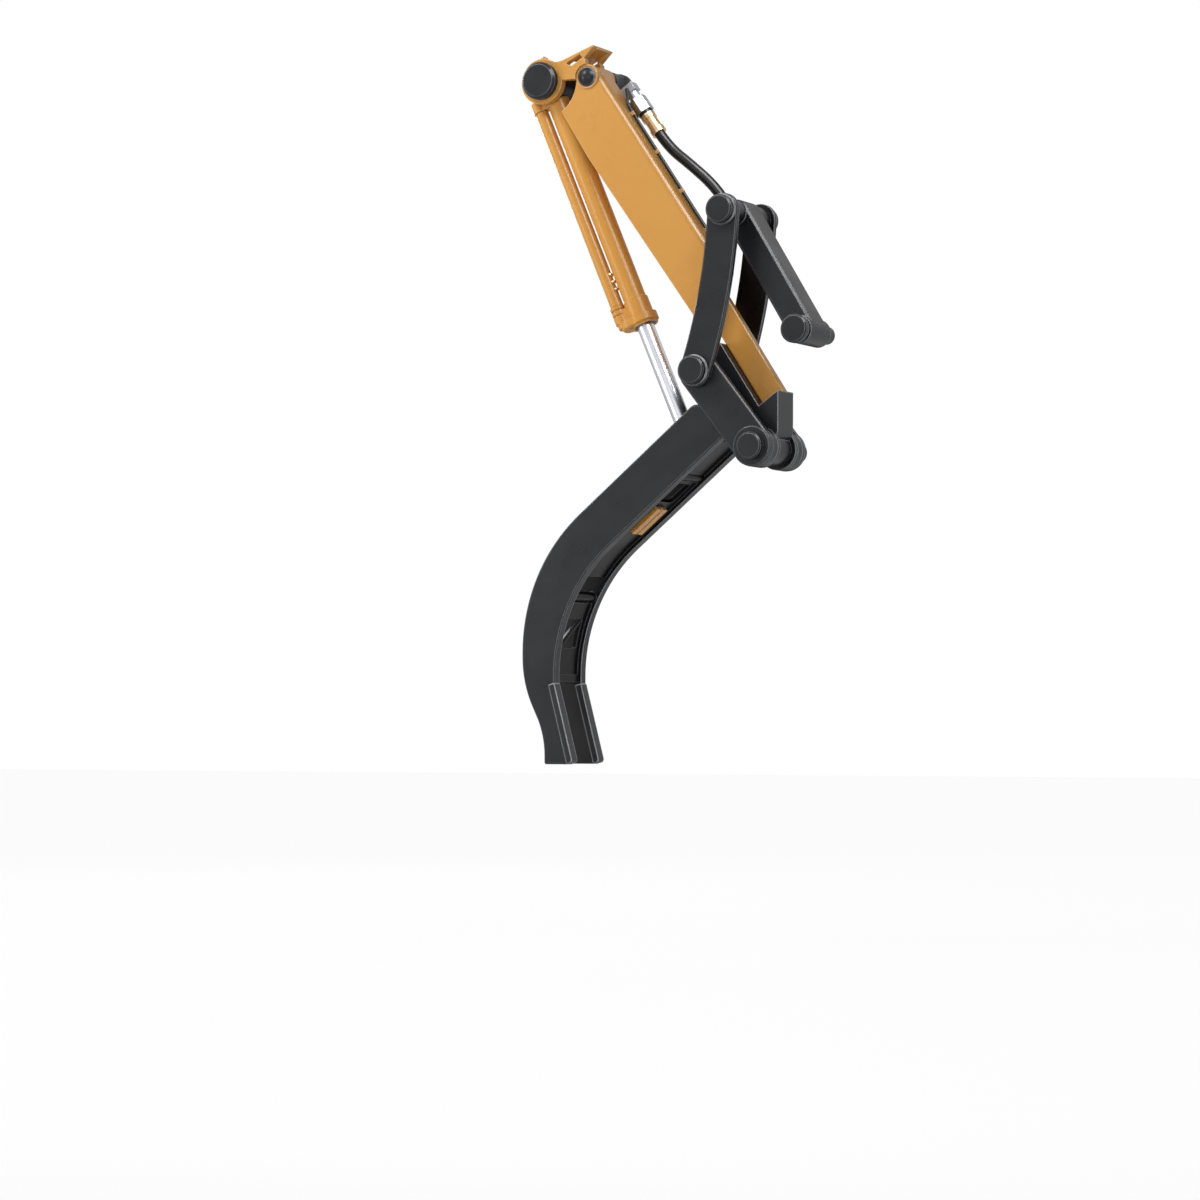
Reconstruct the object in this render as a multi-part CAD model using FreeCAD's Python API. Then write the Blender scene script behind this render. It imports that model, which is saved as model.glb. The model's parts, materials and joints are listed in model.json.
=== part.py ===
"""Hydraulic thumb on the end of a digger arm, with its cylinder and the bucket linkage.

Millimetres, +Z up. The arm, the links and the thumb lie in the XZ plane and Y runs across them.
The origin is on the axis of the arm's foot, half way across the arm.
"""
import FreeCAD, Part
import math
import os

os.makedirs("parts", exist_ok=True)
V = FreeCAD.Vector
ACROSS = V(0, 1, 0)

# Pivots, as X and Z on the middle plane
base_x, base_z = -137.0, -3.0
idler_x, idler_z = 359.0, -820.0
main_x, main_z = 520.0, -1024.0
joint_x, joint_z = 441.0, -400.0
bucket_x, bucket_z = 633.0, -720.0

# Pins and the play round and beside them
foot_pin_r = 27.0
base_pin_r = 28.0
idler_pin_r = 25.0
main_pin_r = 30.0
joint_pin_r = 25.0
bucket_pin_r = 25.0
rod_pin_r = 19.0
pin_play = 0.05
side_gap = 1.0

# Arm: stations run along it from the foot, heights are over its slanted centre line
arm_slope = 55.0
arm_width = 96.0
shell_t = 8.0
shell_corner_r = 22.0
belly_t = 12.0
belly_inset = 4.0
back_foot = 33.0
back_box_end = 22.0
box_end_top = 662.0
box_end_low = 778.0
kink_at = 181.0
belly_kink = -125.0
belly_box_end = -119.0
end_plate_t = 10.0
arm_end = 1041.0
neck_t = 26.0
neck_edge = 3.0
neck_back_start = -24.0
neck_back_end = -37.0
neck_belly_start = -98.0
neck_belly_end = -106.0
foot_boss_r = 34.0
foot_boss_length = 104.0
eye_notch_r = 103.0

# Free ends of the pins, turned down behind a narrow relief
free_end_step = 1.0
relief_w = 4.0
relief_depth = 2.0

# Foot pin and its domed grease cap
foot_stub = 106.0
foot_seat = 32.0
foot_pin_edge = 5.0
foot_groove_w = 6.0
foot_groove_depth = 1.5
foot_groove_from_end = 22.0
foot_cap_r = 25.0
foot_cap_rise = 13.0

# Nose casting
nose_width = 94.0
nose_hub_r = 42.0
nose_lobe_r = 42.0
nose_web_r = 38.0

# Thumb: two tines joined by a recessed web
tine_spacing = 152.0
tine_t = 28.0
tine_edge = 3.0
thumb_hub_r = 54.0
heel_back = 178.0
heel_up = 121.0
heel_r = 24.0
tine_slope = 39.4
tine_depth = 124.0
back_bend_x = -178.0
back_bend_r = 476.0
back_straight = 15.4
hook_turn = 26.07
hook_bend_r = 300.0
tip_back_x = -110.0
tip_back_r = 240.0
tip_drop = 79.0
inner_bend_x = -78.0
inner_bend_r = 447.0
throat_back = 80.0
throat_up = 41.0
throat_r = 26.0
tip_bar_gap = 20.2
tip_bar_lean = 14.8
tip_bar_t = 18.0
tip_bar_proud = 2.0
tip_bar_edge = 5.0

# Web between the tines, as distances along the inner edge from its top
web_recess = 12.0
web_t = 14.0
web_start = 45.0
web_cross_at = 189.0
cross_tube_r = 13.0
web_window_start = 214.0
web_window_length = 74.0
web_window_side = 18.0
web_split_turn = 15.0
low_web_turn = 25.0
low_web_side = 20.0
low_tube_turn = 23.0
tie_w = 22.0
web_end_turn = 50.0
brace_w = 14.0
pad_at = 356.0
pad_length = 100.0
pad_width = 56.0
pad_t = 12.0
pad_groove_w = 8.0
pad_groove_depth = 5.0

# Lugs in the thumb that take the rod pin in a lengthened hole
lug_inner_gap = 60.0
lug_t = 16.0
lug_r = 40.0
lug_along = 132.0
lug_rise = 69.6
slot_forth = 2.2
slot_back = 17.4
slot_drop = -0.8
slot_clearance = 1.8

# Side plates of the nose, and the idlers outside them
cheek_t = 16.0
cheek_r = 54.0
cheek_edge = 3.0
cheek_ring_r = 53.0
cheek_ring_t = 8.0
sleeve_r = 40.0
idler_t = 16.0
idler_r = 44.0
idler_bow = 15.0
idler_edge = 3.0

# Pin caps and washers
cap_r = 38.0
cap_t = 18.0
cap_edge = 4.0
main_cap_r = 36.0
washer_r = 42.0
washer_t = 3.0
washer_step = 1.0
main_stub = 62.0
main_seat = 9.0
main_ring_r = 37.0
main_ring_t = 9.0
bucket_stub = 58.0
bucket_seat = 2.0

# Bucket link
link_w = 74.0
link_depth = 92.0
link_edge = 6.0
link_eye_r = 37.0
link_tube_r = 33.0
link_boss_length = 124.0
bucket_collar_r = 31.0
bucket_collar_t = 16.0

# Top bracket over the foot
ear_inner = 34.0
ear_t = 22.0
ear_ring_r = 62.0
ear_edge = 3.0
finger_t = 13.0
strap_tail_x = -7.0
strap_tail_z = 51.0
strap_low_z = -4.0
strap_window = ((-66.0, 39.0), (-20.0, 62.0), (-11.0, 52.0), (-44.0, 33.0))
strap_end_x = 28.0
strap_end_z = 86.0
strap_root_z = 46.0
strap_root_x = -84.0
hood_t = 8.0
hood_from = 30.0
hood_short = 7.0
base_cap_r = 51.0
base_cap_t = 24.0
base_cap_edge = 7.0
far_cap_r = 42.0
far_cap_t = 12.0

# Cylinder
eye_r = 58.0
eye_length = 66.0
barrel_r = 31.0
barrel_bore_r = 27.0
barrel_start = 52.0
head_start = 656.0
head_end = 731.0
head_r = 34.5
head_bevel = 3.0
flange_r = 42.0
flange_l = 24.0
flange_edge = 4.0
flange_lobe_r = 31.0
flange_lobe_offset = 29.0
port_bridge_w = 26.0
port_boss_end = 704.0
port_bevel = 4.0
head_groove_w = 5.0
head_groove_depth = 2.5
gland_r = 37.0
gland_t = 4.0
wiper_r = 30.0
wiper_t = 4.0
port_tube_r = 15.0
port_offset = 54.0
port_shift = -10.0
port_bore_r = 10.0
port_boss_r = 20.0
port_start = 62.0
port_block_l = 30.0
spacer_r = 5.0
spacer_first = 566.0
spacer_pitch = 20.0
spacer_count = 3

# Rod
rod_r = 23.0
rod_eye_r = 38.0
rod_eye_gap = 1.5
piston_r = 26.9
piston_l = 44.0
rod_inside = 150.0

# Hose with its couplings, and the thin pipe on the arm's back
hose_r = 15.0
hose_route = (
    (165.0, 58.5, -151.5),
    (194.0, 60.0, -192.5),
    (254.0, 67.0, -245.0),
    (312.0, 81.0, -302.0),
    (353.0, 90.0, -360.0),
    (370.0, 89.0, -428.0),
    (366.0, 84.0, -490.0),
    (346.0, 74.0, -544.0),
)
collar_r = 18.0
collar_rim_r = 21.0
collar_rim_l = 16.0
collar_l = 64.0
seal_r = 21.0
seal_l = 8.0
hex_half = 23.0
hex_l = 46.0
nut_r = 17.0
nut_l = 22.0
block_l = 24.0
block_half = 18.0
ferrule_r = 18.0
ferrule_l = 28.0
port_nut = 40.0
port_nut_l = 36.0
bend_share = 0.45
pipe_r = 5.0
pipe_gap = 0.1
pipe_start = 70.0
pipe_end = 600.0
pipe_y = 0.0
clip_w = 16.0
clip_t = 3.0
clip_count = 4

# Places that follow from the sizes above
arm_half = arm_width / 2
nose_half = nose_width / 2
tine_in = (tine_spacing - tine_t) / 2
tine_out = tine_in + tine_t
cheek_in = tine_out + side_gap
cheek_out = cheek_in + cheek_t
idler_in = cheek_out + side_gap
idler_out = idler_in + idler_t
ear_out = ear_inner + ear_t
slope = math.radians(arm_slope)
base_point = V(base_x, 0, base_z)
SIDES = (("near", -1), ("far", 1))
node_solids = {}


def inner_frame():
    """The straight upper stretch of the thumb's inner edge: its start, its direction and the way into the tine."""
    angle = math.radians(180 + tine_slope)
    along = V(math.cos(angle), 0, math.sin(angle))
    inward = V(-math.sin(math.radians(tine_slope)), 0, math.cos(math.radians(tine_slope)))
    heel = V(main_x - heel_back, 0, main_z + heel_up)
    corner = heel - inward * tine_depth
    throat_x = main_x - throat_back
    start = corner - along * ((throat_x - corner.x) / -along.x)
    return start, along, inward


def lug_point():
    """The rod pin's place on the thumb."""
    start, along, inward = inner_frame()
    return start + along * lug_along + inward * lug_rise


rod_point = lug_point()
rod_reach = base_point.distanceToPoint(rod_point)
down_rod = V((rod_point.x - base_x) / rod_reach, 0, (rod_point.z - base_z) / rod_reach)
beside_rod = V(down_rod.z, 0, -down_rod.x)
print("rod axis:", round(down_rod.x, 9), round(down_rod.z, 9), "reach", round(rod_reach, 3))


def save(name, *shapes):
    """Write one node as a STEP file."""
    shape = shapes[0] if len(shapes) == 1 else Part.makeCompound(list(shapes))
    shape.exportStep("parts/" + name + ".step")
    node_solids[name] = shape


def arm_point(station, height):
    """A point given along the arm and over its centre line."""
    x = station * math.cos(slope) + height * math.sin(slope)
    z = -station * math.sin(slope) + height * math.cos(slope)
    return (x, z)


def rounded_edges(points, radii, closed):
    """Straight edges between the points, joined by tangent arcs where a radius is given."""
    count = len(points)
    starts = []
    ends = []
    arcs = []
    for i in range(count):
        here = points[i]
        inner = closed or 0 < i < count - 1
        radius = radii[i] if inner else 0
        if radius <= 0:
            starts.append(here)
            ends.append(here)
            arcs.append(None)
            continue
        to_last = (points[i - 1] - here).normalize()
        to_next = (points[(i + 1) % count] - here).normalize()
        half = to_last.getAngle(to_next) / 2
        cut = radius / math.tan(half)
        middle = (to_last + to_next).normalize()
        centre = here + middle * (radius / math.sin(half))
        start = here + to_last * cut
        end = here + to_next * cut
        starts.append(start)
        ends.append(end)
        arcs.append(Part.Arc(start, centre - middle * radius, end).toShape())
    edges = []
    for i in range(count):
        if arcs[i]:
            edges.append(arcs[i])
        if i == count - 1 and not closed:
            break
        a = ends[i]
        b = starts[(i + 1) % count]
        if a.distanceToPoint(b) > 1e-6:
            edges.append(Part.LineSegment(a, b).toShape())
    return edges


def plate(corners, y0, y1):
    """A flat plate across Y from corners (x, z) or (x, z, radius)."""
    points = [V(c[0], y0, c[1]) for c in corners]
    radii = [c[2] if len(c) > 2 else 0 for c in corners]
    wire = Part.Wire(rounded_edges(points, radii, True))
    return Part.Face(wire).extrude(V(0, y1 - y0, 0))


def disc(x, z, radius, y0, y1):
    """A round bar across the arm."""
    return Part.makeCylinder(radius, y1 - y0, V(x, y0, z), ACROSS)


def ring(x, z, outer, inner, y0, y1):
    """A round bar with a hole."""
    return disc(x, z, outer, y0, y1).cut(disc(x, z, inner, y0 - 1, y1 + 1))


def between(side, y_in, y_out):
    """The span of a layer on one side, with its lower Y first."""
    return (y_in, y_out) if side > 0 else (-y_out, -y_in)


def one(shape):
    """The single solid of a cleaned shape."""
    return shape.removeSplitter().Solids[0]


def bevel_outside(shape, y_face, size, shortest=0.0):
    """Chamfer the outline edges that lie on one face across Y and are long enough."""
    edges = []
    for edge in shape.Edges:
        box = edge.BoundBox
        flat = abs(box.YMin - y_face) < 1e-4 and abs(box.YMax - y_face) < 1e-4
        if flat and edge.Length > shortest:
            edges.append(edge)
    return shape.makeChamfer(size, edges)


def cap(x, z, radius, thickness, edge, y_seat, side):
    """A round pin cap that stands on y_seat, with a bevelled rim."""
    y0, y1 = between(side, abs(y_seat), abs(y_seat) + thickness)
    body = disc(x, z, radius, y0, y1)
    return bevel_outside(body, y1 if side > 0 else y0, edge)


def free_pin(x, z, radius, first, seat_end, end, edge):
    """A pin with a slimmer free end, which starts behind a narrow relief past its seat."""
    seat = disc(x, z, radius, first, seat_end)
    relief = disc(x, z, radius - relief_depth, seat_end, seat_end + relief_w)
    free = disc(x, z, radius - free_end_step, seat_end + relief_w, end)
    free = bevel_outside(free, end, edge)
    return one(seat.fuse([relief, free]))


# Arm
def back_height(station):
    """The height of the arm's back over its centre line."""
    return back_foot + (back_box_end - back_foot) * station / box_end_top


def arm_body(inset, corner_r, below, beyond):
    """The arm's box as one solid with rounded back corners, set in from its faces or run past them."""
    half = arm_half - inset
    body = plate([
        arm_point(-3 * inset, back_height(-3 * inset) - inset),
        arm_point(box_end_top + beyond, back_box_end - inset),
        arm_point(box_end_low + beyond, belly_box_end - below),
        arm_point(kink_at, belly_kink - below) + (70,),
        arm_point(-foot_boss_r - below, belly_kink + 12 - below),
    ], -half, half)
    middle = V(*arm_point(box_end_top / 2, 0))
    edges = []
    for edge in body.Edges:
        box = edge.BoundBox
        long = box.YLength < 1e-4 and edge.Length > box_end_top / 2
        if long and box.Center.x * math.sin(slope) + box.Center.z * math.cos(slope) > -10:
            edges.append(edge)
    return body.makeFillet(corner_r, edges)


def box_end(height):
    """The station of the box's slanted end at a height."""
    share = (back_box_end - height) / (back_box_end - belly_box_end)
    return box_end_top + (box_end_low - box_end_top) * share


def neck_outline():
    """The corners of the neck plate, from the box's slanted end to the nose."""
    return [
        arm_point(box_end(neck_back_start), neck_back_start),
        arm_point(arm_end, neck_back_end),
        arm_point(arm_end, neck_belly_end),
        arm_point(box_end(neck_belly_start), neck_belly_start),
    ]


def arm_box():
    """A bent channel closed by a belly plate and an end plate, with the narrow neck that carries the nose."""
    hollow = arm_body(shell_t, shell_corner_r - shell_t, 30, 60)
    shell = arm_body(0, shell_corner_r, 0, 0).cut(hollow)
    shell = shell.cut(disc(base_x, base_z, eye_notch_r, -arm_half, arm_half))
    shell = shell.cut(disc(0, 0, foot_boss_r, -arm_half, arm_half))
    shell = max(shell.Solids, key=lambda s: s.Volume)
    save("arm_shell", one(shell))

    inner = arm_half - shell_t
    low = belly_inset
    high = belly_inset + belly_t
    belly = plate([
        arm_point(kink_at + 8, belly_kink + low),
        arm_point(box_end(belly_box_end + low), belly_box_end + low),
        arm_point(box_end(belly_box_end + high), belly_box_end + high),
        arm_point(kink_at + 8, belly_kink + high),
    ], -inner, inner)
    save("arm_belly_plate", belly)

    end_plate = plate([
        arm_point(box_end(60) - end_plate_t, 60),
        arm_point(box_end(60), 60),
        arm_point(box_end(belly_box_end + high), belly_box_end + high),
        arm_point(box_end(belly_box_end + high) - end_plate_t, belly_box_end + high),
    ], -arm_half, arm_half)
    save("arm_end_plate", one(end_plate.common(hollow)))

    neck = plate(neck_outline(), -neck_t / 2, neck_t / 2)
    edges = []
    for edge in neck.Edges:
        box = edge.BoundBox
        if box.YLength < 1e-4 and edge.Length > 2 * arm_width:
            edges.append(edge)
    save("arm_neck", neck.makeChamfer(neck_edge, edges))


def foot():
    """The arm's foot: its bored boss, the pin that stands out on the far side, and the grease cap."""
    half = foot_boss_length / 2
    boss = ring(0, 0, foot_boss_r, foot_pin_r, -half, half)
    save("foot_boss", bevel_outside(bevel_outside(boss, -half, 2), half, 2))

    end = half + foot_stub
    pin = free_pin(0, 0, foot_pin_r, -half, half + foot_seat, end, foot_pin_edge)
    groove_end = end - foot_groove_from_end
    groove = ring(0, 0, foot_pin_r + 1, foot_pin_r - free_end_step - foot_groove_depth,
                  groove_end - foot_groove_w, groove_end)
    save("foot_pin", one(pin.cut(groove)))

    dome_r = (foot_cap_r ** 2 + foot_cap_rise ** 2) / (2 * foot_cap_rise)
    dome = Part.makeSphere(dome_r, V(0, -half - foot_cap_rise + dome_r, 0))
    save("foot_grease_cap", one(dome.common(disc(0, 0, foot_cap_r, -half - foot_cap_rise - 1, -half))))


def nose():
    """The cast nose that carries the main pin and the idler pin below the arm's end."""
    web = capsule(idler_x, idler_z, main_x, main_z, nose_web_r, -nose_half, nose_half)
    fill = plate([
        arm_point(arm_end, neck_back_end),
        arm_point(arm_end, neck_belly_end),
        arm_point((box_end_low + arm_end) / 2 - 75, neck_belly_start),
        (idler_x, idler_z),
        (main_x, main_z),
        arm_point(arm_end + nose_hub_r * 2.4, neck_back_end - nose_hub_r * 1.7) + (40,),
    ], -nose_half, nose_half)
    casting = web.fuse(fill)
    casting = casting.fuse(disc(main_x, main_z, nose_hub_r, -nose_half, nose_half))
    casting = casting.fuse(disc(idler_x, idler_z, nose_lobe_r, -nose_half, nose_half))
    casting = one(casting.cut(plate(neck_outline(), -nose_half, nose_half)))
    casting = casting.cut(disc(main_x, main_z, main_pin_r, -nose_half, nose_half))
    casting = casting.cut(disc(idler_x, idler_z, idler_pin_r, -nose_half, nose_half))
    save("nose_casting", one(casting))


def capsule(x0, z0, x1, z1, radius, y0, y1):
    """A plate with two round ends."""
    length = math.hypot(x1 - x0, z1 - z0)
    nx = -(z1 - z0) / length * radius
    nz = (x1 - x0) / length * radius
    first = Part.Arc(V(x0 + nx, y0, z0 + nz), V(x0 - nz, y0, z0 + nx), V(x0 - nx, y0, z0 - nz))
    second = Part.Arc(V(x1 - nx, y0, z1 - nz), V(x1 + nz, y0, z1 - nx), V(x1 + nx, y0, z1 + nz))
    edges = [
        first.toShape(),
        Part.LineSegment(V(x0 - nx, y0, z0 - nz), V(x1 - nx, y0, z1 - nz)).toShape(),
        second.toShape(),
        Part.LineSegment(V(x1 + nx, y0, z1 + nz), V(x0 + nx, y0, z0 + nz)).toShape(),
    ]
    return Part.Face(Part.Wire(edges)).extrude(V(0, y1 - y0, 0))


def cheeks():
    """Side plates of the nose, the sleeves that hold them off it and the rings round the main pin."""
    sleeves = []
    rings = []
    for name, side in SIDES:
        y0, y1 = between(side, cheek_in, cheek_out)
        cheek = capsule(idler_x, idler_z, main_x, main_z, cheek_r, y0, y1)
        cheek = bevel_outside(cheek, y1 if side > 0 else y0, cheek_edge)
        cheek = cheek.cut(disc(main_x, main_z, main_pin_r, y0, y1))
        save("cheek_" + name, cheek.cut(disc(idler_x, idler_z, idler_pin_r, y0, y1)))
        y0, y1 = between(side, nose_half, cheek_in)
        sleeves.append(ring(idler_x, idler_z, sleeve_r, idler_pin_r, y0, y1))
        y0, y1 = between(side, cheek_out, cheek_out + cheek_ring_t)
        boss = ring(main_x, main_z, cheek_ring_r, main_pin_r, y0, y1)
        rings.append(bevel_outside(boss, y1 if side > 0 else y0, 2))
    save("idler_sleeves", *sleeves)
    y0 = cheek_out + cheek_ring_t
    keeper = ring(main_x, main_z, main_ring_r, main_pin_r, y0, y0 + main_ring_t)
    rings.append(bevel_outside(keeper, y0 + main_ring_t, 2))
    save("main_rings", *rings)


def pin_caps(x, z, y_seat):
    """The two caps of a pin, one at each end."""
    return [cap(x, z, cap_r, cap_t, cap_edge, y_seat, side) for name, side in SIDES]


def washers(x, z, radius, bore, y_in, side):
    """Two washers side by side, the outer one a little smaller."""
    solids = []
    for i in range(2):
        y0, y1 = between(side, y_in + i * washer_t, y_in + (i + 1) * washer_t)
        solids.append(ring(x, z, radius - i * washer_step, bore, y0, y1))
    return solids


def fixed_pins():
    """The main pin, and the idler pin with its washers and caps."""
    ring_out = cheek_out + cheek_ring_t
    pin = free_pin(main_x, main_z, main_pin_r, -ring_out, ring_out + main_seat, ring_out + main_stub, 4)
    save("main_pin", pin)
    save("main_pin_cap", cap(main_x, main_z, main_cap_r, cap_t, cap_edge, ring_out, -1))

    end = idler_out + side_gap + 2 * washer_t
    save("idler_pin", disc(idler_x, idler_z, idler_pin_r, -end, end))
    both = washers(idler_x, idler_z, washer_r, idler_pin_r, idler_out + side_gap, -1)
    both += washers(idler_x, idler_z, washer_r, idler_pin_r, idler_out + side_gap, 1)
    save("idler_pin_caps", *both, *pin_caps(idler_x, idler_z, end))


def top_bracket():
    """Ears that hold the cylinder's base pin, hooked over the foot boss and joined by a hood plate."""
    strap_angle = math.atan2(strap_end_z - strap_root_z, strap_end_x - strap_root_x)
    drop_x = math.sin(strap_angle) * hood_t
    drop_z = -math.cos(strap_angle) * hood_t
    rise = math.tan(strap_angle)
    hood_x0 = strap_root_x + hood_from
    hood_z0 = strap_root_z + hood_from * rise
    hood_x1 = strap_end_x - hood_short
    hood_z1 = strap_end_z - hood_short * rise
    for name, side in SIDES:
        y0, y1 = between(side, ear_inner, ear_out)
        strap = plate([
            (base_x - 8, base_z + ear_ring_r - 4),
            (strap_root_x, strap_root_z, 60),
            (strap_end_x, strap_end_z, 2),
            (strap_tail_x, strap_tail_z, 0),
            (strap_tail_x, 0, 0),
            (-foot_boss_r - finger_t, strap_low_z, 0),
            (base_x + ear_ring_r, strap_low_z, 0),
            (base_x, base_z, 0),
        ], y0, y1)
        finger = disc(0, 0, foot_boss_r + finger_t, y0, y1)
        sector = plate([(0, 0), (strap_tail_x, 90), (-120, 60), (-120, strap_low_z), (0, strap_low_z)], y0, y1)
        ear = strap.fuse(finger.common(sector))
        ear = ear.fuse(disc(base_x, base_z, ear_ring_r, y0, y1))
        window = plate([corner + (3,) for corner in strap_window], y0, y1)
        ear = one(ear.cut(window))
        ear = ear.cut(disc(0, 0, foot_boss_r, y0, y1))
        ear = ear.cut(disc(base_x, base_z, base_pin_r, y0, y1))
        save("bracket_ear_" + name, one(ear))
    hood = plate([
        (hood_x0, hood_z0),
        (hood_x1, hood_z1),
        (hood_x1 + drop_x, hood_z1 + drop_z),
        (hood_x0 + drop_x, hood_z0 + drop_z),
    ], -ear_inner, ear_inner)
    save("bracket_hood", hood)

    pin = disc(base_x, base_z, base_pin_r, -ear_out, ear_out)
    save("base_pin", pin)
    near = cap(base_x, base_z, base_cap_r, base_cap_t, base_cap_edge, ear_out, -1)
    far = cap(base_x, base_z, far_cap_r, far_cap_t, cap_edge, ear_out, 1)
    save("base_pin_caps", near, far)


# Thumb
def thumb_tines():
    """Two curved tines with a bore for the main pin and a hard bar on each tip."""
    start, along, inward = inner_frame()
    heel = V(main_x - heel_back, 0, main_z + heel_up)
    back_corner_z = heel.z - (heel.x - back_bend_x) * math.tan(math.radians(tine_slope))
    inner_corner_z = start.z - (start.x - inner_bend_x) * math.tan(math.radians(tine_slope))
    back_tangent = back_bend_r * math.tan(math.radians((90 - tine_slope) / 2))
    hook_tangent = hook_bend_r * math.tan(math.radians(hook_turn / 2))
    hook_z = back_corner_z - back_tangent - back_straight - hook_tangent
    tip_back_z = hook_z - (tip_back_x - back_bend_x) / math.tan(math.radians(hook_turn))
    tip_z = tip_back_z - tip_drop
    bar_dx = math.sin(math.radians(tip_bar_lean))
    bar_dz = math.cos(math.radians(tip_bar_lean))
    top = V(inner_bend_x, 0, bend_centre()[0].z - tip_bar_gap)
    bar_length = (top.z - tip_z) / bar_dz - 6
    low = top + V(bar_dx, 0, -bar_dz) * bar_length
    into = V(-bar_dz, 0, -bar_dx)
    top_seat = top + into * tip_bar_t
    low_seat = low + into * tip_bar_t
    outline = [
        (heel.x, heel.z, heel_r),
        (back_bend_x, back_corner_z, back_bend_r),
        (back_bend_x, hook_z, hook_bend_r),
        (tip_back_x, tip_back_z, tip_back_r),
        (tip_back_x, tip_z, 6),
        (low_seat.x, tip_z, 0),
        (low_seat.x, low_seat.z, 0),
        (top_seat.x, top_seat.z, 0),
        (top.x, top.z, 0),
        (inner_bend_x, inner_corner_z, inner_bend_r),
        (start.x, start.z, throat_r),
        (main_x - thumb_hub_r * 0.35, main_z - thumb_hub_r * 0.9, 0),
        (main_x, main_z + thumb_hub_r * 0.9, 0),
    ]
    hubs = []
    bars = []
    for name, side in SIDES:
        y0, y1 = between(side, tine_in, tine_out)
        tine = plate(outline, y0, y1)
        tine = tine.fuse(disc(main_x, main_z, thumb_hub_r, y0, y1))
        tine = bevel_outside(one(tine), y1 if side > 0 else y0, tine_edge, 2 * tine_depth)
        tine = tine.cut(disc(main_x, main_z, main_pin_r + pin_play, y0, y1))
        save("tine_" + name, one(tine))
        y0, y1 = between(side, nose_half + side_gap, tine_in)
        hubs.append(ring(main_x, main_z, thumb_hub_r, main_pin_r + pin_play, y0, y1))
        y0, y1 = between(side, tine_in - tip_bar_proud, tine_out + tip_bar_proud)
        bar = plate([
            (top.x, top.z, 0),
            (low.x, low.z, 10),
            (low_seat.x, low_seat.z, 0),
            (top_seat.x, top_seat.z, 0),
        ], y0, y1)
        bars.append(bar)
    save("thumb_hubs", *hubs)
    save("tip_bars", *bars)


def bend_centre():
    """The centre of the inner edge's bend, and its start angle seen from there."""
    start, along, inward = inner_frame()
    centre_x = inner_bend_x + inner_bend_r
    corner_z = start.z - (start.x - inner_bend_x) * math.tan(math.radians(tine_slope))
    cut = inner_bend_r * math.tan(math.radians((90 - tine_slope) / 2))
    return V(centre_x, 0, corner_z - cut), 90 + tine_slope


def web_slab(first, last, recess, thickness, half=tine_in):
    """A flat stretch of web along the straight part of the inner edge."""
    start, along, inward = inner_frame()
    corners = []
    for distance, depth in ((first, recess), (last, recess), (last, recess + thickness), (first, recess + thickness)):
        point = start + along * distance + inward * depth
        corners.append((point.x, point.z))
    return plate(corners, -half, half)


def web_curve(first_turn, last_turn, recess, thickness, half=tine_in):
    """A curved stretch of web round the bend, between two angles from the bend's start."""
    centre, begin = bend_centre()
    inner = inner_bend_r + recess
    outer = inner + thickness

    def at(radius, turn):
        angle = math.radians(begin + turn)
        return V(centre.x + radius * math.cos(angle), -half, centre.z + radius * math.sin(angle))

    middle = (first_turn + last_turn) / 2
    edges = [
        Part.Arc(at(inner, first_turn), at(inner, middle), at(inner, last_turn)).toShape(),
        Part.LineSegment(at(inner, last_turn), at(outer, last_turn)).toShape(),
        Part.Arc(at(outer, last_turn), at(outer, middle), at(outer, first_turn)).toShape(),
        Part.LineSegment(at(outer, first_turn), at(inner, first_turn)).toShape(),
    ]
    return Part.Face(Part.Wire(edges)).extrude(V(0, 2 * half, 0))


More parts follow.
